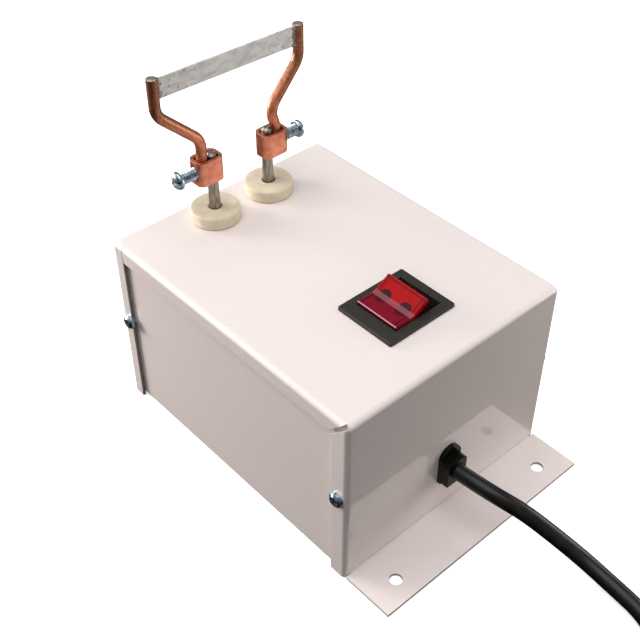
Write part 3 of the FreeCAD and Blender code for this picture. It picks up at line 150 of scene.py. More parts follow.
# %% Grid to mesh
def add_piece(name, grid, body, smooth=True):
    """Mesh from a (rows, columns, 3) grid in mm. Columns wrap round. Ends close to their mean point.
    Face (i, j) joins points (i, j), (i, j+1), (i+1, j+1) and (i+1, j)."""
    rows, columns, _ = grid.shape
    points = grid.reshape(-1, 3)
    index = np.arange(rows * columns).reshape(rows, columns)
    beside = np.roll(index, -1, axis=1)
    quads = np.stack([index[:-1], beside[:-1], beside[1:], index[1:]], axis=-1).reshape(-1, 4)
    faces = quads.tolist()
    points = np.vstack([points, grid[0].mean(axis=0), grid[-1].mean(axis=0)])
    low, high = len(points) - 2, len(points) - 1
    faces += np.stack([np.full(columns, low), beside[0], index[0]], axis=-1).tolist()
    faces += np.stack([np.full(columns, high), index[-1], beside[-1]], axis=-1).tolist()
    mesh = bpy.data.meshes.new(name)
    mesh.from_pydata((points * MM).tolist(), [], faces)
    mesh.validate()
    mesh.update()
    mesh.polygons.foreach_set("use_smooth", np.full(len(mesh.polygons), smooth))
    piece = bpy.data.objects.new(name, mesh)
    scene.collection.objects.link(piece)
    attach(piece, body)
    print(name, "faces:", len(mesh.polygons))
    return piece


def middle_of(node):
    """Middle of a node's box, in mm."""
    low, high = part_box(node)
    return np.array((low + high) / 2) / MM


# %% [markdown]
# ## Finishes
# A real finish is never one flat colour. new_finish below gives each material the same three
# layers: a colour that drifts between two shades, a roughness that varies, and a fine bump. The
# patterns read Object coordinates, so they sit still on the piece and need no unwrapping. What is the
# same all over, such as metallic or coat, is set straight on the shader's sockets. The short
# functions after it write shader arithmetic, from which the masks of stains and edges are made.

# %% Material helpers
def add_node(material, kind, **constants):
    """New shader node with constants on its inputs. A socket is named with _ for each space."""
    node = material.node_tree.nodes.new(kind)
    set_inputs(node, constants)
    return node


def set_inputs(node, constants):
    """Sets constants on a node's input sockets."""
    for socket, constant in constants.items():
        node.inputs[socket.replace("_", " ")].default_value = constant


def noise_from(material, place, grain, detail):
    """Noise output with features of about grain mm, read at the place socket."""
    noise = add_node(material, "ShaderNodeTexNoise", Scale=1 / (grain * MM), Detail=detail)
    material.node_tree.links.new(place, noise.inputs["Vector"])
    return noise.outputs["Fac"]


def new_finish(name, dark, light, grain, rough, bump=0.0, bump_grain=None, stretch=(1, 1, 1),
               shades=(0.35, 0.65), edge=0.0, **constants):
    """Principled material. dark and light: the two shades; grain: pattern size in mm; rough: (low,
    high) roughness; bump: height in mm; bump_grain: its size in mm; stretch: pattern scale along
    each axis; shades: where in the noise the two shades sit; edge: rounding of edges in mm."""
    material = bpy.data.materials.new(name)
    material.use_nodes = True
    tree = material.node_tree
    link = tree.links.new
    shader = tree.nodes["Principled BSDF"]
    set_inputs(shader, constants)
    place = add_node(material, "ShaderNodeTexCoord")
    fit = add_node(material, "ShaderNodeMapping", Scale=stretch)
    link(place.outputs["Object"], fit.inputs["Vector"])
    pattern = noise_from(material, fit.outputs["Vector"], grain, 4)
    shade = tree.nodes.new("ShaderNodeValToRGB")
    for stop, position, colour in zip(shade.color_ramp.elements, shades, (dark, light)):
        stop.position = position
        stop.color = (*colour, 1)
    link(pattern, shade.inputs["Fac"])
    link(shade.outputs["Color"], shader.inputs["Base Color"])
    spread = add_node(material, "ShaderNodeMapRange", From_Min=0.3, From_Max=0.7, To_Min=rough[0],
                      To_Max=rough[1])
    link(pattern, spread.inputs["Value"])
    link(spread.outputs["Result"], shader.inputs["Roughness"])
    if edge:
        rounding = add_node(material, "ShaderNodeBevel", Radius=edge * MM)
        rounding.samples = 4
        link(rounding.outputs["Normal"], shader.inputs["Normal"])
    if bump:
        fine = noise_from(material, fit.outputs["Vector"], bump_grain or grain / 4, 3)
        relief = add_node(material, "ShaderNodeBump", Strength=1, Distance=bump * MM)
        link(fine, relief.inputs["Height"])
        if edge:
            link(rounding.outputs["Normal"], relief.inputs["Normal"])
        link(relief.outputs["Normal"], shader.inputs["Normal"])
    return material


# A colour Mix node names its sockets the same for every data type, so they are picked by number.
MIX_UNDER, MIX_OVER, MIX_COLOUR = 6, 7, 2


def over(material, factor, colour):
    """Lays a colour over a material's own colour where factor, an output socket in 0..1, is high."""
    link = material.node_tree.links.new
    base = material.node_tree.nodes["Principled BSDF"].inputs["Base Color"]
    layer = add_node(material, "ShaderNodeMix")
    layer.data_type = "RGBA"
    link(factor, layer.inputs["Factor"])
    link(base.links[0].from_socket, layer.inputs[MIX_UNDER])
    layer.inputs[MIX_OVER].default_value = (*colour, 1)
    link(layer.outputs[MIX_COLOUR], base)


def ramp_between(material, value, low, high):
    """0 where the value socket is at low, 1 at high, smooth between."""
    step = add_node(material, "ShaderNodeMapRange", From_Min=low, From_Max=high)
    step.interpolation_type = "SMOOTHSTEP"
    material.node_tree.links.new(value, step.inputs["Value"])
    return step.outputs["Result"]


def calculate(material, operation, first, second=0.0):
    """One Math node. Each input is a socket or a number."""
    step = add_node(material, "ShaderNodeMath")
    step.operation = operation
    for socket, given in zip(step.inputs, (first, second)):
        if isinstance(given, (int, float)):
            socket.default_value = given
        else:
            material.node_tree.links.new(given, socket)
    return step.outputs["Value"]


def times(material, first, *factors):
    """Product of sockets and numbers."""
    for factor in factors:
        first = calculate(material, "MULTIPLY", first, factor)
    return first


def size_of(material, value):
    """A value without its sign."""
    return calculate(material, "ABSOLUTE", value)


def less(material, value, amount):
    """Value minus amount."""
    return calculate(material, "SUBTRACT", value, amount)


def near(material, value, centre, outer, inner):
    """1 where value is within inner of the centre, 0 where it is outer or more away."""
    return ramp_between(material, size_of(material, less(material, value, centre)), outer, inner)


def object_place(material):
    """The point's position on its piece, as a vector socket in metres."""
    return add_node(material, "ShaderNodeTexCoord").outputs["Object"]


def noise_of(material, grain, detail):
    """Noise output with features of about grain mm, on Object coordinates."""
    return noise_from(material, object_place(material), grain, detail)


def axis_of(material, axis):
    """The object coordinate along an axis, in metres."""
    split = add_node(material, "ShaderNodeSeparateXYZ")
    material.node_tree.links.new(object_place(material), split.inputs["Vector"])
    return split.outputs[axis]


def dress(material, *names):
    """Gives carried-over nodes a finish, by their material slots."""
    for name in names:
        mesh = nodes[name].data
        mesh.materials.clear()
        mesh.materials.append(material)


# %% [markdown]
# ## Paint
# The case is powder-free stove enamel, a pinkish off-white so glossy that the rear wall mirrors
# the lip below it. The gloss is a clear coat over a satin colour coat, rubbed duller on the top,
# where hands and work have been. Dust shows as tiny dark specks: only the highest peaks of a fine
# noise are let through. A mask from two coordinates paints shade, a dark olive, on the edge face of
# the end flange beside the front screw, which faces away from the light. The masks are in metres.

# %% Case paint
paint = new_finish("case_paint", (0.800, 0.712, 0.684), (0.815, 0.726, 0.698), grain=40, rough=(0.45, 0.48),
                   bump=0.004, bump_grain=0.45, Coat_Weight=1.0, Coat_Roughness=0.03, Coat_IOR=1.52)
SHADED_FACE_Y, SHADED_FACE_X, TOP_Z = -0.0680, 0.0493, 0.0745
# painted shade on the edge face of the end flange, which faces away from the light
painted_shade_edge = near(paint, axis_of(paint, "Y"), SHADED_FACE_Y, 0.0003, 0.0001)
painted_shade_side = ramp_between(paint, size_of(paint, axis_of(paint, "X")), SHADED_FACE_X, SHADED_FACE_X + 0.0003)
over(paint, times(paint, painted_shade_edge, painted_shade_side, 0.8), (0.10, 0.095, 0.075))
rubbed = ramp_between(paint, axis_of(paint, "Z"), TOP_Z, TOP_Z + 0.0013)
gloss = less(paint, 1.0, times(paint, rubbed, 0.92))
paint.node_tree.links.new(gloss, paint.node_tree.nodes["Principled BSDF"].inputs["Coat Weight"])
specks = ramp_between(paint, noise_of(paint, 0.55, 1), 0.735, 0.77)
over(paint, times(paint, specks, 0.55), (0.30, 0.22, 0.18))
dress(paint, "cover", "chassis")

# %% [markdown]
# ## Ceramic
# The bushings are unglazed steatite, a matte cream with faint handling stains and a few darker
# spots. It lets a little light in, which a small subsurface weight gives.

# %% Ceramic bushings
ceramic = new_finish("steatite", (0.66, 0.56, 0.40), (0.74, 0.655, 0.50), grain=3.5, rough=(0.6, 0.8),
                     bump=0.02, bump_grain=0.6, Subsurface_Weight=0.08, Subsurface_Scale=0.002)
stain = ramp_between(ceramic, noise_of(ceramic, 1.3, 3), 0.66, 0.76)
over(ceramic, times(ceramic, stain, 0.6), (0.34, 0.24, 0.13))
dress(ceramic, "right_ceramic_washer", "left_ceramic_washer", "right_ceramic_ring", "left_ceramic_ring")

# %% [markdown]
# ## Metals
# Bare copper is bright where tools rubbed it and brown where heat reached it. On the arms the brown
# tarnish grows with height, towards the hot strip, in patches. The posts are tinned brass, grey and
# scratched along their length. The strip is resistance alloy with a grey bloom.

# %% Copper
lug_copper = new_finish("lug_copper", (0.60, 0.20, 0.115), (0.80, 0.33, 0.21), grain=2.6, rough=(0.30, 0.48),
                        bump=0.03, bump_grain=0.9, edge=0.25, Metallic=1.0)
dress(lug_copper, "right_clamp_lug", "left_clamp_lug", "secondary_bar")
arm_copper = new_finish("arm_copper", (0.50, 0.17, 0.085), (0.72, 0.27, 0.15), grain=1.6, rough=(0.34, 0.5),
                        bump=0.02, bump_grain=0.7, Metallic=0.75)
height = ramp_between(arm_copper, axis_of(arm_copper, "Z"), 0.104, 0.138)
patches = ramp_between(arm_copper, noise_of(arm_copper, 1.1, 4), 0.30, 0.68)
tarnish = times(arm_copper, height, calculate(arm_copper, "ADD", patches, 0.35))
over(arm_copper, calculate(arm_copper, "MINIMUM", tarnish, 0.85), (0.27, 0.115, 0.058))
dress(arm_copper, "right_arm", "left_arm")

# %% [markdown]
# Drawn metal is scratched along its length. A pattern scale below 1 on that axis stretches the noise
# into such streaks. The strip's grey bloom is kept off its middle by the distance from x = 0.

# %% Posts, strip and steel
post_tin = new_finish("post_tin", (0.20, 0.18, 0.15), (0.42, 0.39, 0.34), grain=0.8, rough=(0.32, 0.5),
                      bump=0.015, bump_grain=0.3, stretch=(1, 1, 0.18), edge=0.3, Metallic=1.0)
dress(post_tin, "right_post", "left_post")
strip_alloy = new_finish("strip_alloy", (0.58, 0.57, 0.55), (0.80, 0.79, 0.77), grain=1.8, rough=(0.5, 0.7),
                         bump=0.012, bump_grain=0.4, stretch=(0.4, 1, 1), shades=(0.32, 0.6), Metallic=0.3)
smudge = ramp_between(strip_alloy, noise_of(strip_alloy, 1.5, 5), 0.55, 0.70)
ends = ramp_between(strip_alloy, size_of(strip_alloy, axis_of(strip_alloy, "X")), 0.004, 0.030)
over(strip_alloy, times(strip_alloy, smudge, ends, 0.7), (0.16, 0.15, 0.14))
dress(strip_alloy, "hot_strip")
zinc = new_finish("zinc_plate", (0.20, 0.26, 0.31), (0.46, 0.55, 0.62), grain=1.2, rough=(0.24, 0.38),
                  bump=0.006, bump_grain=0.4, edge=0.12, Metallic=1.0)
dress(zinc, "cover_screws", "core_studs", "core_nuts", "earth_stud", "earth_nut", "core_frame",
      "right_clamp_screw", "left_clamp_screw", "plunger_springs")
brass = new_finish("terminal_brass", (0.55, 0.38, 0.14), (0.78, 0.60, 0.30), grain=2.0, rough=(0.18, 0.32),
                   bump=0.005, bump_grain=0.5, stretch=(0.25, 1, 1), Metallic=1.0)
dress(brass, "contact_levers", "switch_terminals", "earth_ring", "plug_pins")

# %% [markdown]
# ## Plastics, rubber and the parts inside
# Moulded black plastic has a fine spark-eroded texture and a slight olive tint. The cord's jacket is
# smoother and shows one soft highlight along its length. Inside the case the laminations show as
# thin stripes across the stack, so their noise is drawn out along X and Z and stays fine along Y.

# %% Black mouldings and cord
switch_black = new_finish("switch_black", (0.014, 0.013, 0.009), (0.030, 0.028, 0.021), grain=0.7,
                          rough=(0.45, 0.58), bump=0.03, bump_grain=0.22, edge=0.2, Specular_IOR_Level=0.35)
dress(switch_black, "switch_body", "switch_plungers")
nylon = new_finish("black_nylon", (0.002, 0.002, 0.002), (0.005, 0.005, 0.004), grain=1.5, rough=(0.16, 0.26),
                   bump=0.008, bump_grain=0.6, edge=0.35, Specular_IOR_Level=0.14)
dress(nylon, "strain_relief")
jacket = new_finish("cord_jacket", (0.004, 0.0035, 0.003), (0.009, 0.008, 0.007), grain=4.0,
                    rough=(0.30, 0.40), bump=0.012, bump_grain=0.8, Specular_IOR_Level=0.32)
dress(jacket, "cord_tail", "cord", "cord_coil", "plug_body")
mains_cord.data.materials.append(jacket)

# %% [markdown]
# The parts under the cover get finishes too, so the case can be opened in a lesson.

# %% Hidden parts
steel_sheets = new_finish("laminations", (0.055, 0.058, 0.065), (0.13, 0.13, 0.14), grain=0.5,
                          rough=(0.35, 0.5), bump=0.02, bump_grain=0.5, stretch=(0.02, 1, 0.02),
                          Metallic=0.8)
dress(steel_sheets, "laminations")
board = new_finish("pressboard", (0.30, 0.20, 0.10), (0.42, 0.30, 0.16), grain=2.5, rough=(0.7, 0.9),
                   bump=0.02)
dress(board, "core_pad", "winding_wrap")
bobbin_nylon = new_finish("bobbin_nylon", (0.62, 0.60, 0.50), (0.72, 0.70, 0.60), grain=6, rough=(0.4, 0.5),
                          bump=0.01, Subsurface_Weight=0.1, Subsurface_Scale=0.002)
dress(bobbin_nylon, "bobbin")
enamel = new_finish("enamelled_wire", (0.20, 0.045, 0.015), (0.48, 0.15, 0.05), grain=0.6,
                    rough=(0.2, 0.3), bump=0.06, bump_grain=0.45, stretch=(0.02, 0.02, 1), Metallic=0.6,
                    Coat_Weight=0.6)
dress(enamel, "primary_winding")
lamp = new_finish("lamp_glass", (0.75, 0.55, 0.45), (0.85, 0.65, 0.55), grain=3, rough=(0.05, 0.1),
                  bump=0.004, Transmission_Weight=0.8)
dress(lamp, "neon_lamp")
for name, dark, light, wires in (
    ("wire_black", (0.012, 0.012, 0.012), (0.03, 0.03, 0.03), ("line_wire", "rear_primary_lead")),
    ("wire_white", (0.62, 0.61, 0.58), (0.72, 0.71, 0.68), ("neutral_wire", "front_primary_lead")),
    ("wire_green", (0.015, 0.14, 0.035), (0.03, 0.22, 0.06), ("earth_wire",)),
    ("sleeve_red", (0.34, 0.02, 0.015), (0.48, 0.04, 0.03), ("spade_receptacles",)),
):
    dress(new_finish(name, dark, light, grain=3, rough=(0.35, 0.5), bump=0.01), *wires)

# %% [markdown]
# ## The switch rocker
# The rocker is clear red plastic, a shallow vee with a hollow underneath. Light that enters the
# raised half comes back bright red, the pressed half looks darker, and the two black plungers show
# through as round blobs beside the valley. Real refraction this small turns to noise, so the depth
# is painted as a pattern on the piece, with only a faint gloss over it. The shape is one
# cross-section, an outline with rounded corners, carried along the hinge axis.

# %% Rocker shape
HINGE = np.array([-1.0, 22.8, 69.5])
TILT = np.radians(15.5)
HALF_WIDTH = 9.3
END_ROUND = 0.35
VALLEY = 10.2
PEAK = VALLEY + 6.8 * np.tan(np.radians(16.0))


def rounded_outline(corners, radius, steps=5):
    """Polygon with each corner replaced by a quadratic arc: points (1-s)^2 a + 2s(1-s) c + s^2 b for
    s in 0..1, where a and b lie one radius from corner c along its two sides."""
    corners = np.array(corners, float)
    before = np.roll(corners, 1, axis=0) - corners
    after = np.roll(corners, -1, axis=0) - corners
    reach = np.array(radius, float)[:, None]
    a = corners + before / np.linalg.norm(before, axis=1, keepdims=True) * reach
    b = corners + after / np.linalg.norm(after, axis=1, keepdims=True) * reach
    s = np.linspace(0, 1, steps)[None, :, None]
    arcs = (1 - s) ** 2 * a[:, None] + 2 * s * (1 - s) * corners[:, None] + s ** 2 * b[:, None]
    return arcs.reshape(-1, 2)


profile = rounded_outline(
    [(7.7, PEAK), (9.0, VALLEY / 2), (8.4, 1.5), (3, -2.5), (-3, -2.5), (-8.4, 1.5), (-9.0, VALLEY / 2),
     (-7.7, PEAK), (-0.9, VALLEY), (0.9, VALLEY)],
    [0.35, 0.5, 0.5, 0.5, 0.5, 0.5, 0.5, 0.35, 0.25, 0.25])


def tilted(points):
    """Turns (x, y, z) points about +Y by TILT, then moves them to the hinge axis."""
    x, y, z = points[..., 0], points[..., 1], points[..., 2]
    c, s = np.cos(TILT), np.sin(TILT)
    return np.stack([x * c + z * s, y, z * c - x * s], axis=-1) + HINGE


def rocker_grid():
    """The outline at each step of y. Near both ends it shrinks towards its own middle, by a share of
    its half size of 8 mm, as END_ROUND * (1 - cos), so that the end edges are rounded."""
    ease = np.linspace(0, np.pi / 2, 5)
    y_end = HALF_WIDTH - END_ROUND + END_ROUND * np.sin(ease)
    inset = END_ROUND * (1 - np.cos(ease))
    y = np.concatenate([-y_end[::-1], y_end])
    shrink = np.concatenate([inset[::-1], inset])
    middle, half_size = np.array([0.0, 4.0]), 8.0
    scaled = middle + (profile - middle)[None] * (1 - shrink[:, None, None] / half_size)
    rows = np.stack([scaled[..., 0], np.broadcast_to(y[:, None], scaled.shape[:2]), scaled[..., 1]], axis=-1)
    return tilted(rows)


rocker_moulding = add_piece("rocker_moulding", rocker_grid(), "rocker", smooth=False)
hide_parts("rocker")

# %% [markdown]
# The pattern is laid in the rocker's own tilted directions. u runs across the vee and v along the
# hinge, and w points up out of the vee, all made from object coordinates with a dot product. The
# painted layers, from the bottom up, are painted shade on the pressed half, the plunger blobs, the
# dark rim lines, a painted highlight on the edge of the pressed half, painted shade on the wall
# below that edge, painted shade of the hollow underneath seen through the end wall below its crest,
# and a painted highlight as a pale band in the valley.

# %% Rocker finish
red = new_finish("rocker_red", (0.29, 0.0010, 0.002), (0.38, 0.0018, 0.003), grain=1.2, rough=(0.14, 0.20),
                 bump=0.003, bump_grain=0.8, Specular_IOR_Level=0.07)


def rocker_axis(direction):
    """Distance in metres from the hinge along a direction: dot(position - hinge, direction)."""
    shift = add_node(red, "ShaderNodeVectorMath")
    shift.operation = "SUBTRACT"
    shift.inputs[1].default_value = tuple(HINGE * MM)
    dot = add_node(red, "ShaderNodeVectorMath")
    dot.operation = "DOT_PRODUCT"
    dot.inputs[1].default_value = direction
    red.node_tree.links.new(object_place(red), shift.inputs[0])
    red.node_tree.links.new(shift.outputs[0], dot.inputs[0])
    return dot.outputs["Value"]


u = rocker_axis((np.cos(TILT), 0, -np.sin(TILT)))
v = rocker_axis((0, 1, 0))
w = rocker_axis((np.sin(TILT), 0, np.cos(TILT)))
# painted shade: the pressed half is darker than the raised half
pressed = ramp_between(red, u, -0.0002, 0.0006)
over(red, times(red, pressed, 0.88), (0.17, 0.008, 0.022))

# the plungers: an oval round (u, v) = (+-0.8, +-4.75) mm, from the root of the sum of two squares
blob_v = size_of(red, less(red, size_of(red, v), 0.00475))
blob_u = times(red, less(red, size_of(red, u), 0.0008), 1.1)
blob = calculate(red, "SQRT", calculate(red, "ADD", times(red, blob_v, blob_v), times(red, blob_u, blob_u)))
blob_shade = less(red, 0.96, times(red, pressed, 0.35))
blob_mask = less(red, 1.0, ramp_between(red, blob, 0.0022, 0.0028))
over(red, times(red, blob_mask, blob_shade), (0.035, 0.004, 0.006))

# dark lines just inside the rim of the top
on_top = ramp_between(red, w, 0.0094, 0.0099)
rim = calculate(red, "MAXIMUM", near(red, size_of(red, v), 0.0080, 0.00060, 0.0003),
                near(red, u, -0.0066, 0.00045, 0.0002))
over(red, times(red, rim, on_top, 0.65), (0.07, 0.001, 0.008))

# a painted highlight on the edge of the pressed half, and painted shade on the wall below it
crest_line = ramp_between(red, w, 0.0117, 0.0119)
over(red, times(red, near(red, u, 0.0076, 0.00028, 0.0001), crest_line, 0.7), (0.75, 0.42, 0.42))
painted_shade_wall = times(red, ramp_between(red, u, 0.0077, 0.0079), ramp_between(red, w, 0.0119, 0.0117))
over(red, times(red, painted_shade_wall, 0.8), (0.03, 0.003, 0.006))

# painted shade of the hollow underneath, seen through the end wall: everything on it well below the crest w =
# 0.00994 + 0.287 |u|
crest = calculate(red, "ADD", times(red, size_of(red, u), 0.287), 0.00994)
below = ramp_between(red, less(red, crest, w), 0.0014, 0.0020)
end_wall = ramp_between(red, v, 0.0089, 0.0091)
over(red, times(red, below, end_wall, 0.95), (0.012, 0.001, 0.002))

# painted highlight: a pale band along the valley
over(red, times(red, near(red, u, 0.0001, 0.00125, 0.0009), on_top, 0.55), (0.30, 0.12, 0.14))
rocker_moulding.data.materials.append(red)
dress(red, "rocker")

# %% [markdown]
# ## Clamp screws
# The clamp screws are plain zinc-plated machine screws. A thread is a surface of two parameters:
# distance s along the screw and angle a around it. The radius rises and falls in a triangle wave of
# s / pitch - a / 360 degrees, which is exactly a helix. The head is a turned dome, with the slot
# pressed down in its height wherever the point is within half a slot of the middle line.

# %% Clamp screws
AROUND = 72
THREAD_ROWS = 130
DOME_ROWS = 34


def screw_grid(tip, toward, height, row_y, length=8.2, head=2.5, pitch=1.06):
    """Rows along the axis: the thread, then the head's underside, rim and slotted dome. toward is
    +1 or -1. The thread's root radius is 1.78 mm, its depth 0.60 mm, and it tapers in over 0.8 mm."""
    angle = np.linspace(0, 2 * np.pi, AROUND, endpoint=False)[None, :]
    s = np.linspace(0, length, THREAD_ROWS)[:, None]
    wave = np.abs(((s / pitch - angle / (2 * np.pi)) % 1.0) * 2 - 1)
    taper = np.clip(s / 0.8, 0.0, 1.0)
    radius = (1.78 + 0.60 * wave) * (0.82 + 0.18 * taper)
    along = np.broadcast_to(s, radius.shape)
    rim, rim_height, slot_half, slot_floor = 3.45, 0.75, 0.62, 1.1
    swing = np.linspace(0, 1, DOME_ROWS)[:, None] ** 1.3 * np.pi / 2
    head_radius = np.broadcast_to(rim * np.cos(swing * 0.995), (DOME_ROWS, AROUND))
    dome = np.broadcast_to(length + rim_height + (head - rim_height) * np.sin(swing), (DOME_ROWS, AROUND))
    in_slot = np.abs(head_radius * np.sin(angle + 0.25)) < slot_half
    dome = np.where(in_slot, np.minimum(dome, length + slot_floor), dome)
    under = np.repeat(np.array([[2.0], [rim - 0.15], [rim]]), AROUND, axis=1)
    under_s = np.repeat(np.array([[length], [length], [length + 0.15]]), AROUND, axis=1)
    radius = np.concatenate([radius, under, head_radius])
    along = np.concatenate([along, under_s, dome])
    angle = np.broadcast_to(angle, radius.shape) * toward
    x = tip + toward * along
    return np.stack([x, row_y + radius * np.cos(angle), height + radius * np.sin(angle)], axis=-1)


for side, toward in (("right", 1), ("left", -1)):
    low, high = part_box(f"{side}_clamp_screw")
    tip = (low if toward > 0 else high).x / MM
    centre = middle_of(f"{side}_clamp_screw")
    screw = add_piece(f"{side}_screw_threaded", screw_grid(tip, toward, centre[2], centre[1]),
                      f"{side}_screw")
    screw.data.materials.append(zinc)
    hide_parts(f"{side}_clamp_screw")

# %% [markdown]
# ## Solder at the strip
# The strip is soldered into a saw cut in each arm. Solder wets both metals, so its surface is a
# concave fillet along the strip, and a low grey cap fills the top of the cut. Each fillet's outline
# goes out along one face of the strip and back along the other, and is carried up the strip's height.

# %% Solder
solder = new_finish("solder", (0.20, 0.18, 0.15), (0.46, 0.43, 0.38), grain=1.0, rough=(0.35, 0.55),
                    bump=0.06, bump_grain=0.7, Metallic=0.8)
ARM_RADIUS = 2.05
FILLET_HEIGHT = 8.0


def fillet_grid(arm_x, inward, row_y, bottom, top):
    """Cross-section: y = +-(0.42 + 1.15 (1 - t)^2.4) at distance 1.3 + 1.75 t from the arm's axis, with
    that distance gently waved by sines of z."""
    t = np.linspace(0, 1, 9)
    z = np.linspace(bottom, top, 18)[:, None]
    wave = 1 + 0.22 * np.sin(z * 1.7 + arm_x) + 0.12 * np.sin(z * 4.3)
    out = 1.3 + 1.75 * t[None, :] * wave
    thick = 0.42 + 1.15 * (1 - t[None, :]) ** 2.4 * (1 + 0 * z)
    x = arm_x + inward * np.concatenate([out, out[:, ::-1]], axis=1)
    y = row_y + np.concatenate([thick, -thick[:, ::-1]], axis=1) * inward
    return np.stack([x, y, np.broadcast_to(z, x.shape)], axis=-1)


def cap_grid(arm_x, row_y, top, radius=1.98):
    """A low uneven dome over a skirt just inside the arm: rows of radius share r and height z in mm,
    plus sines of x and y."""
    angle = np.linspace(0, 2 * np.pi, 40, endpoint=False)[None, :]
    r = np.array([0.97, 1.0, 0.96, 0.88, 0.75, 0.6, 0.42, 0.25, 0.1])[:, None]
    z = np.array([-0.4, -0.02, 0.10, 0.18, 0.27, 0.34, 0.40, 0.43, 0.45])[:, None]
    x = arm_x + radius * r * np.cos(angle)
    y = row_y + radius * r * np.sin(angle)
    lift = 0.10 * np.sin(x * 2.3) * np.cos(y * 2.9) * (z > 0)
    return np.stack([x, y, top + z + lift], axis=-1)


for side, toward in (("right", 1), ("left", -1)):
    low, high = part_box(f"{side}_arm")
    arm_x = (high.x if toward > 0 else low.x) / MM - toward * ARM_RADIUS
    row_y = middle_of(f"{side}_arm")[1]
    top = high.z / MM
    fillet = add_piece(f"{side}_solder_fillet",
                       fillet_grid(arm_x, -toward, row_y, top - FILLET_HEIGHT, top - 0.45),
                       "tip")
    cap = add_piece(f"{side}_solder_cap", cap_grid(arm_x, row_y, top - 0.02), "tip")
    for piece in (fillet, cap):
        piece.data.materials.append(solder)

# %% [markdown]
# ## The plug
# The plug is moulded onto the cord in one shot with its bend relief. It is a loft: superellipse
# sections along its axis, round at the cord and nearly square at the face, with grip grooves cut by
# a cosine in the relief.

# %% Plug
def plug_grid():
    """Sections |y/a|^n + |z/b|^n = 1 at distance s from the cord end, where a, b and n ease from the
    round neck to the square body, and the neck's radius dips in grooves. The last rows step in by
    0.7 mm for each millimetre past s = 55.5, which rounds the face."""
    half_width, half_height = 12.5, 10.0
    s = np.concatenate([np.linspace(0, 19, 40), np.linspace(19.4, 24, 10), np.linspace(26, 55, 12),
                        np.array([56.0, 56.6, 57.0])])
    ease = np.clip((s - 17.5) / 7.0, 0, 1)
    ease = ease * ease * (3 - 2 * ease)
    neck = 4.2 + 1.5 * s / 19
    groove = 0.55 * np.clip(np.cos(s / 19 * 2 * np.pi * 4.5), 0, 1) * (s > 1.5) * (s < 16.5)
    end = np.where(s > 55.5, (s - 55.5) * 0.7, 0)
    a = (neck - groove) * (1 - ease) + half_width * ease - end
    b = (neck - groove) * (1 - ease) + half_height * ease - end
    n = 2 + 3.5 * ease
    angle = np.linspace(0, 2 * np.pi, 64, endpoint=False)[None, :]
    c, d = np.cos(angle), np.sin(angle)
    power = (2 / n)[:, None]
    y = a[:, None] * np.sign(c) * np.abs(c) ** power
    z = b[:, None] * np.sign(d) * np.abs(d) ** power
    low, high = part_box("plug_body")
    start, axis_y = high.x / MM, middle_of("plug_body")[1]
    x = np.broadcast_to(start - s[:, None], y.shape)
    return np.stack([x, axis_y - y, middle_of("plug_body")[2] + z], axis=-1)


plug = add_piece("plug_moulding", plug_grid(), "base")
plug.data.materials.append(jacket)
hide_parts("plug_body")

# %% [markdown]
# ## Floor and light
# The object stands on a plain pale floor under one big soft box. The soft box hangs overhead, so
# the top is brightest. A small box near the right front corner lights the right side, which fades
# towards the rear. A weak one low at the rear lights the rear wall from the -X side, so that the
# wall brightens from one end to the other. The floor is left out of mirror and bounce rays, so the
# glossy rear wall mirrors the lip against a dim room and not against a white sheet.

# %% Floor
def flat_sheet(name, half, height):
    """One square face, facing up."""
    mesh = bpy.data.meshes.new(name)
    corners = np.array([(-1, -1), (1, -1), (1, 1), (-1, 1)]) * half
    mesh.from_pydata([(x, y, height) for x, y in corners.tolist()], [], [(0, 1, 2, 3)])
    sheet = bpy.data.objects.new(name, mesh)
    scene.collection.objects.link(sheet)
    return sheet


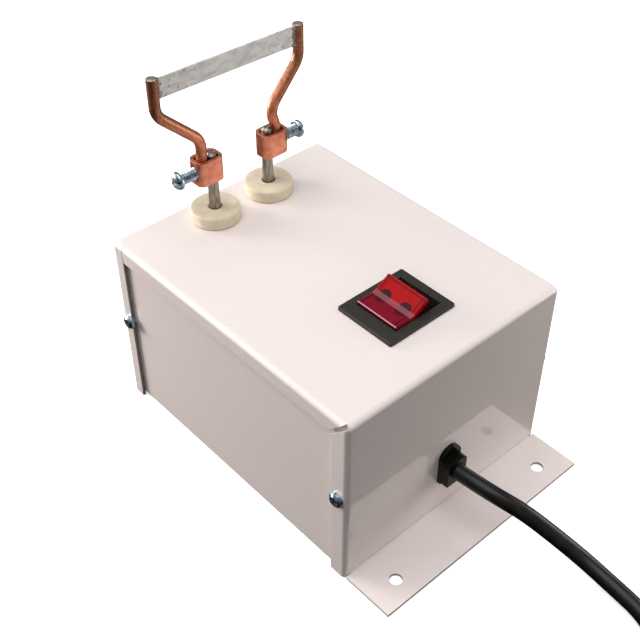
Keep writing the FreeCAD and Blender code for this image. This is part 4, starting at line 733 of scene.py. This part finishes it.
FLOOR_HALF, FLOOR_HEIGHT = 6.0, -0.0003
floor = flat_sheet("floor", FLOOR_HALF, FLOOR_HEIGHT)
floor_paper = bpy.data.materials.new("floor_paper")
floor_paper.use_nodes = True
set_inputs(floor_paper.node_tree.nodes["Principled BSDF"],
           {"Base_Color": (0.9, 0.9, 0.9, 1), "Roughness": 1.0, "Specular_IOR_Level": 0.0,
            "Emission_Color": (1, 1, 1, 1), "Emission_Strength": 0.55})
floor.data.materials.append(floor_paper)
floor.visible_glossy = False
floor.visible_diffuse = False

# %% [markdown]
# Each soft box is a square area light turned to face a point of the case. The larger the square, the
# softer its shadows.

# %% Light
scene.view_settings.view_transform = "Standard"


def soft_box(name, at, size, power, colour, toward):
    """A square area light at a place, in metres, that faces a point."""
    light = bpy.data.lights.new(name, "AREA")
    light.shape = "SQUARE"
    light.size = size
    light.energy = power
    light.color = colour
    box = bpy.data.objects.new(name, light)
    scene.collection.objects.link(box)
    box.location = at
    box.rotation_mode = "QUATERNION"
    box.rotation_quaternion = (Vector(toward) - Vector(at)).to_track_quat("-Z", "Y")


soft_box("key_box", (0.25, -0.05, 1.1), 1.2, 12.0, (0.965, 0.99, 1.0), (0, 0, 0.05))
soft_box("side_box", (0.3, -0.5, 0.15), 0.25, 3.9, (1.0, 0.94, 0.91), (0.05, -0.05, 0.06))
soft_box("rear_fill", (-0.24, 0.17, 0.09), 0.17, 0.40, (1.0, 0.96, 0.93), (-0.03, 0.06, 0.045))

# %% [markdown]
# The room is a world colour that fades with the height of the ray's direction, from nearly black
# below the horizon to pale grey above it.

# %% Room
world = bpy.data.worlds.new("room")
scene.world = world
world.use_nodes = True
room = world.node_tree
sky = room.nodes["Background"]
sky.inputs["Strength"].default_value = 0.36
direction = room.nodes.new("ShaderNodeTexCoord")
split = room.nodes.new("ShaderNodeSeparateXYZ")
lift = room.nodes.new("ShaderNodeMapRange")
lift.inputs["From Min"].default_value = -1.0
fade = room.nodes.new("ShaderNodeValToRGB")
below_horizon, above_horizon = fade.color_ramp.elements
below_horizon.position, above_horizon.position = 0.42, 0.62
below_horizon.color = (0.07, 0.066, 0.062, 1)
above_horizon.color = (0.80, 0.79, 0.79, 1)
room.links.new(direction.outputs["Generated"], split.inputs["Vector"])
room.links.new(split.outputs["Z"], lift.inputs["Value"])
room.links.new(lift.outputs["Result"], fade.inputs["Fac"])
room.links.new(fade.outputs["Color"], sky.inputs["Color"])
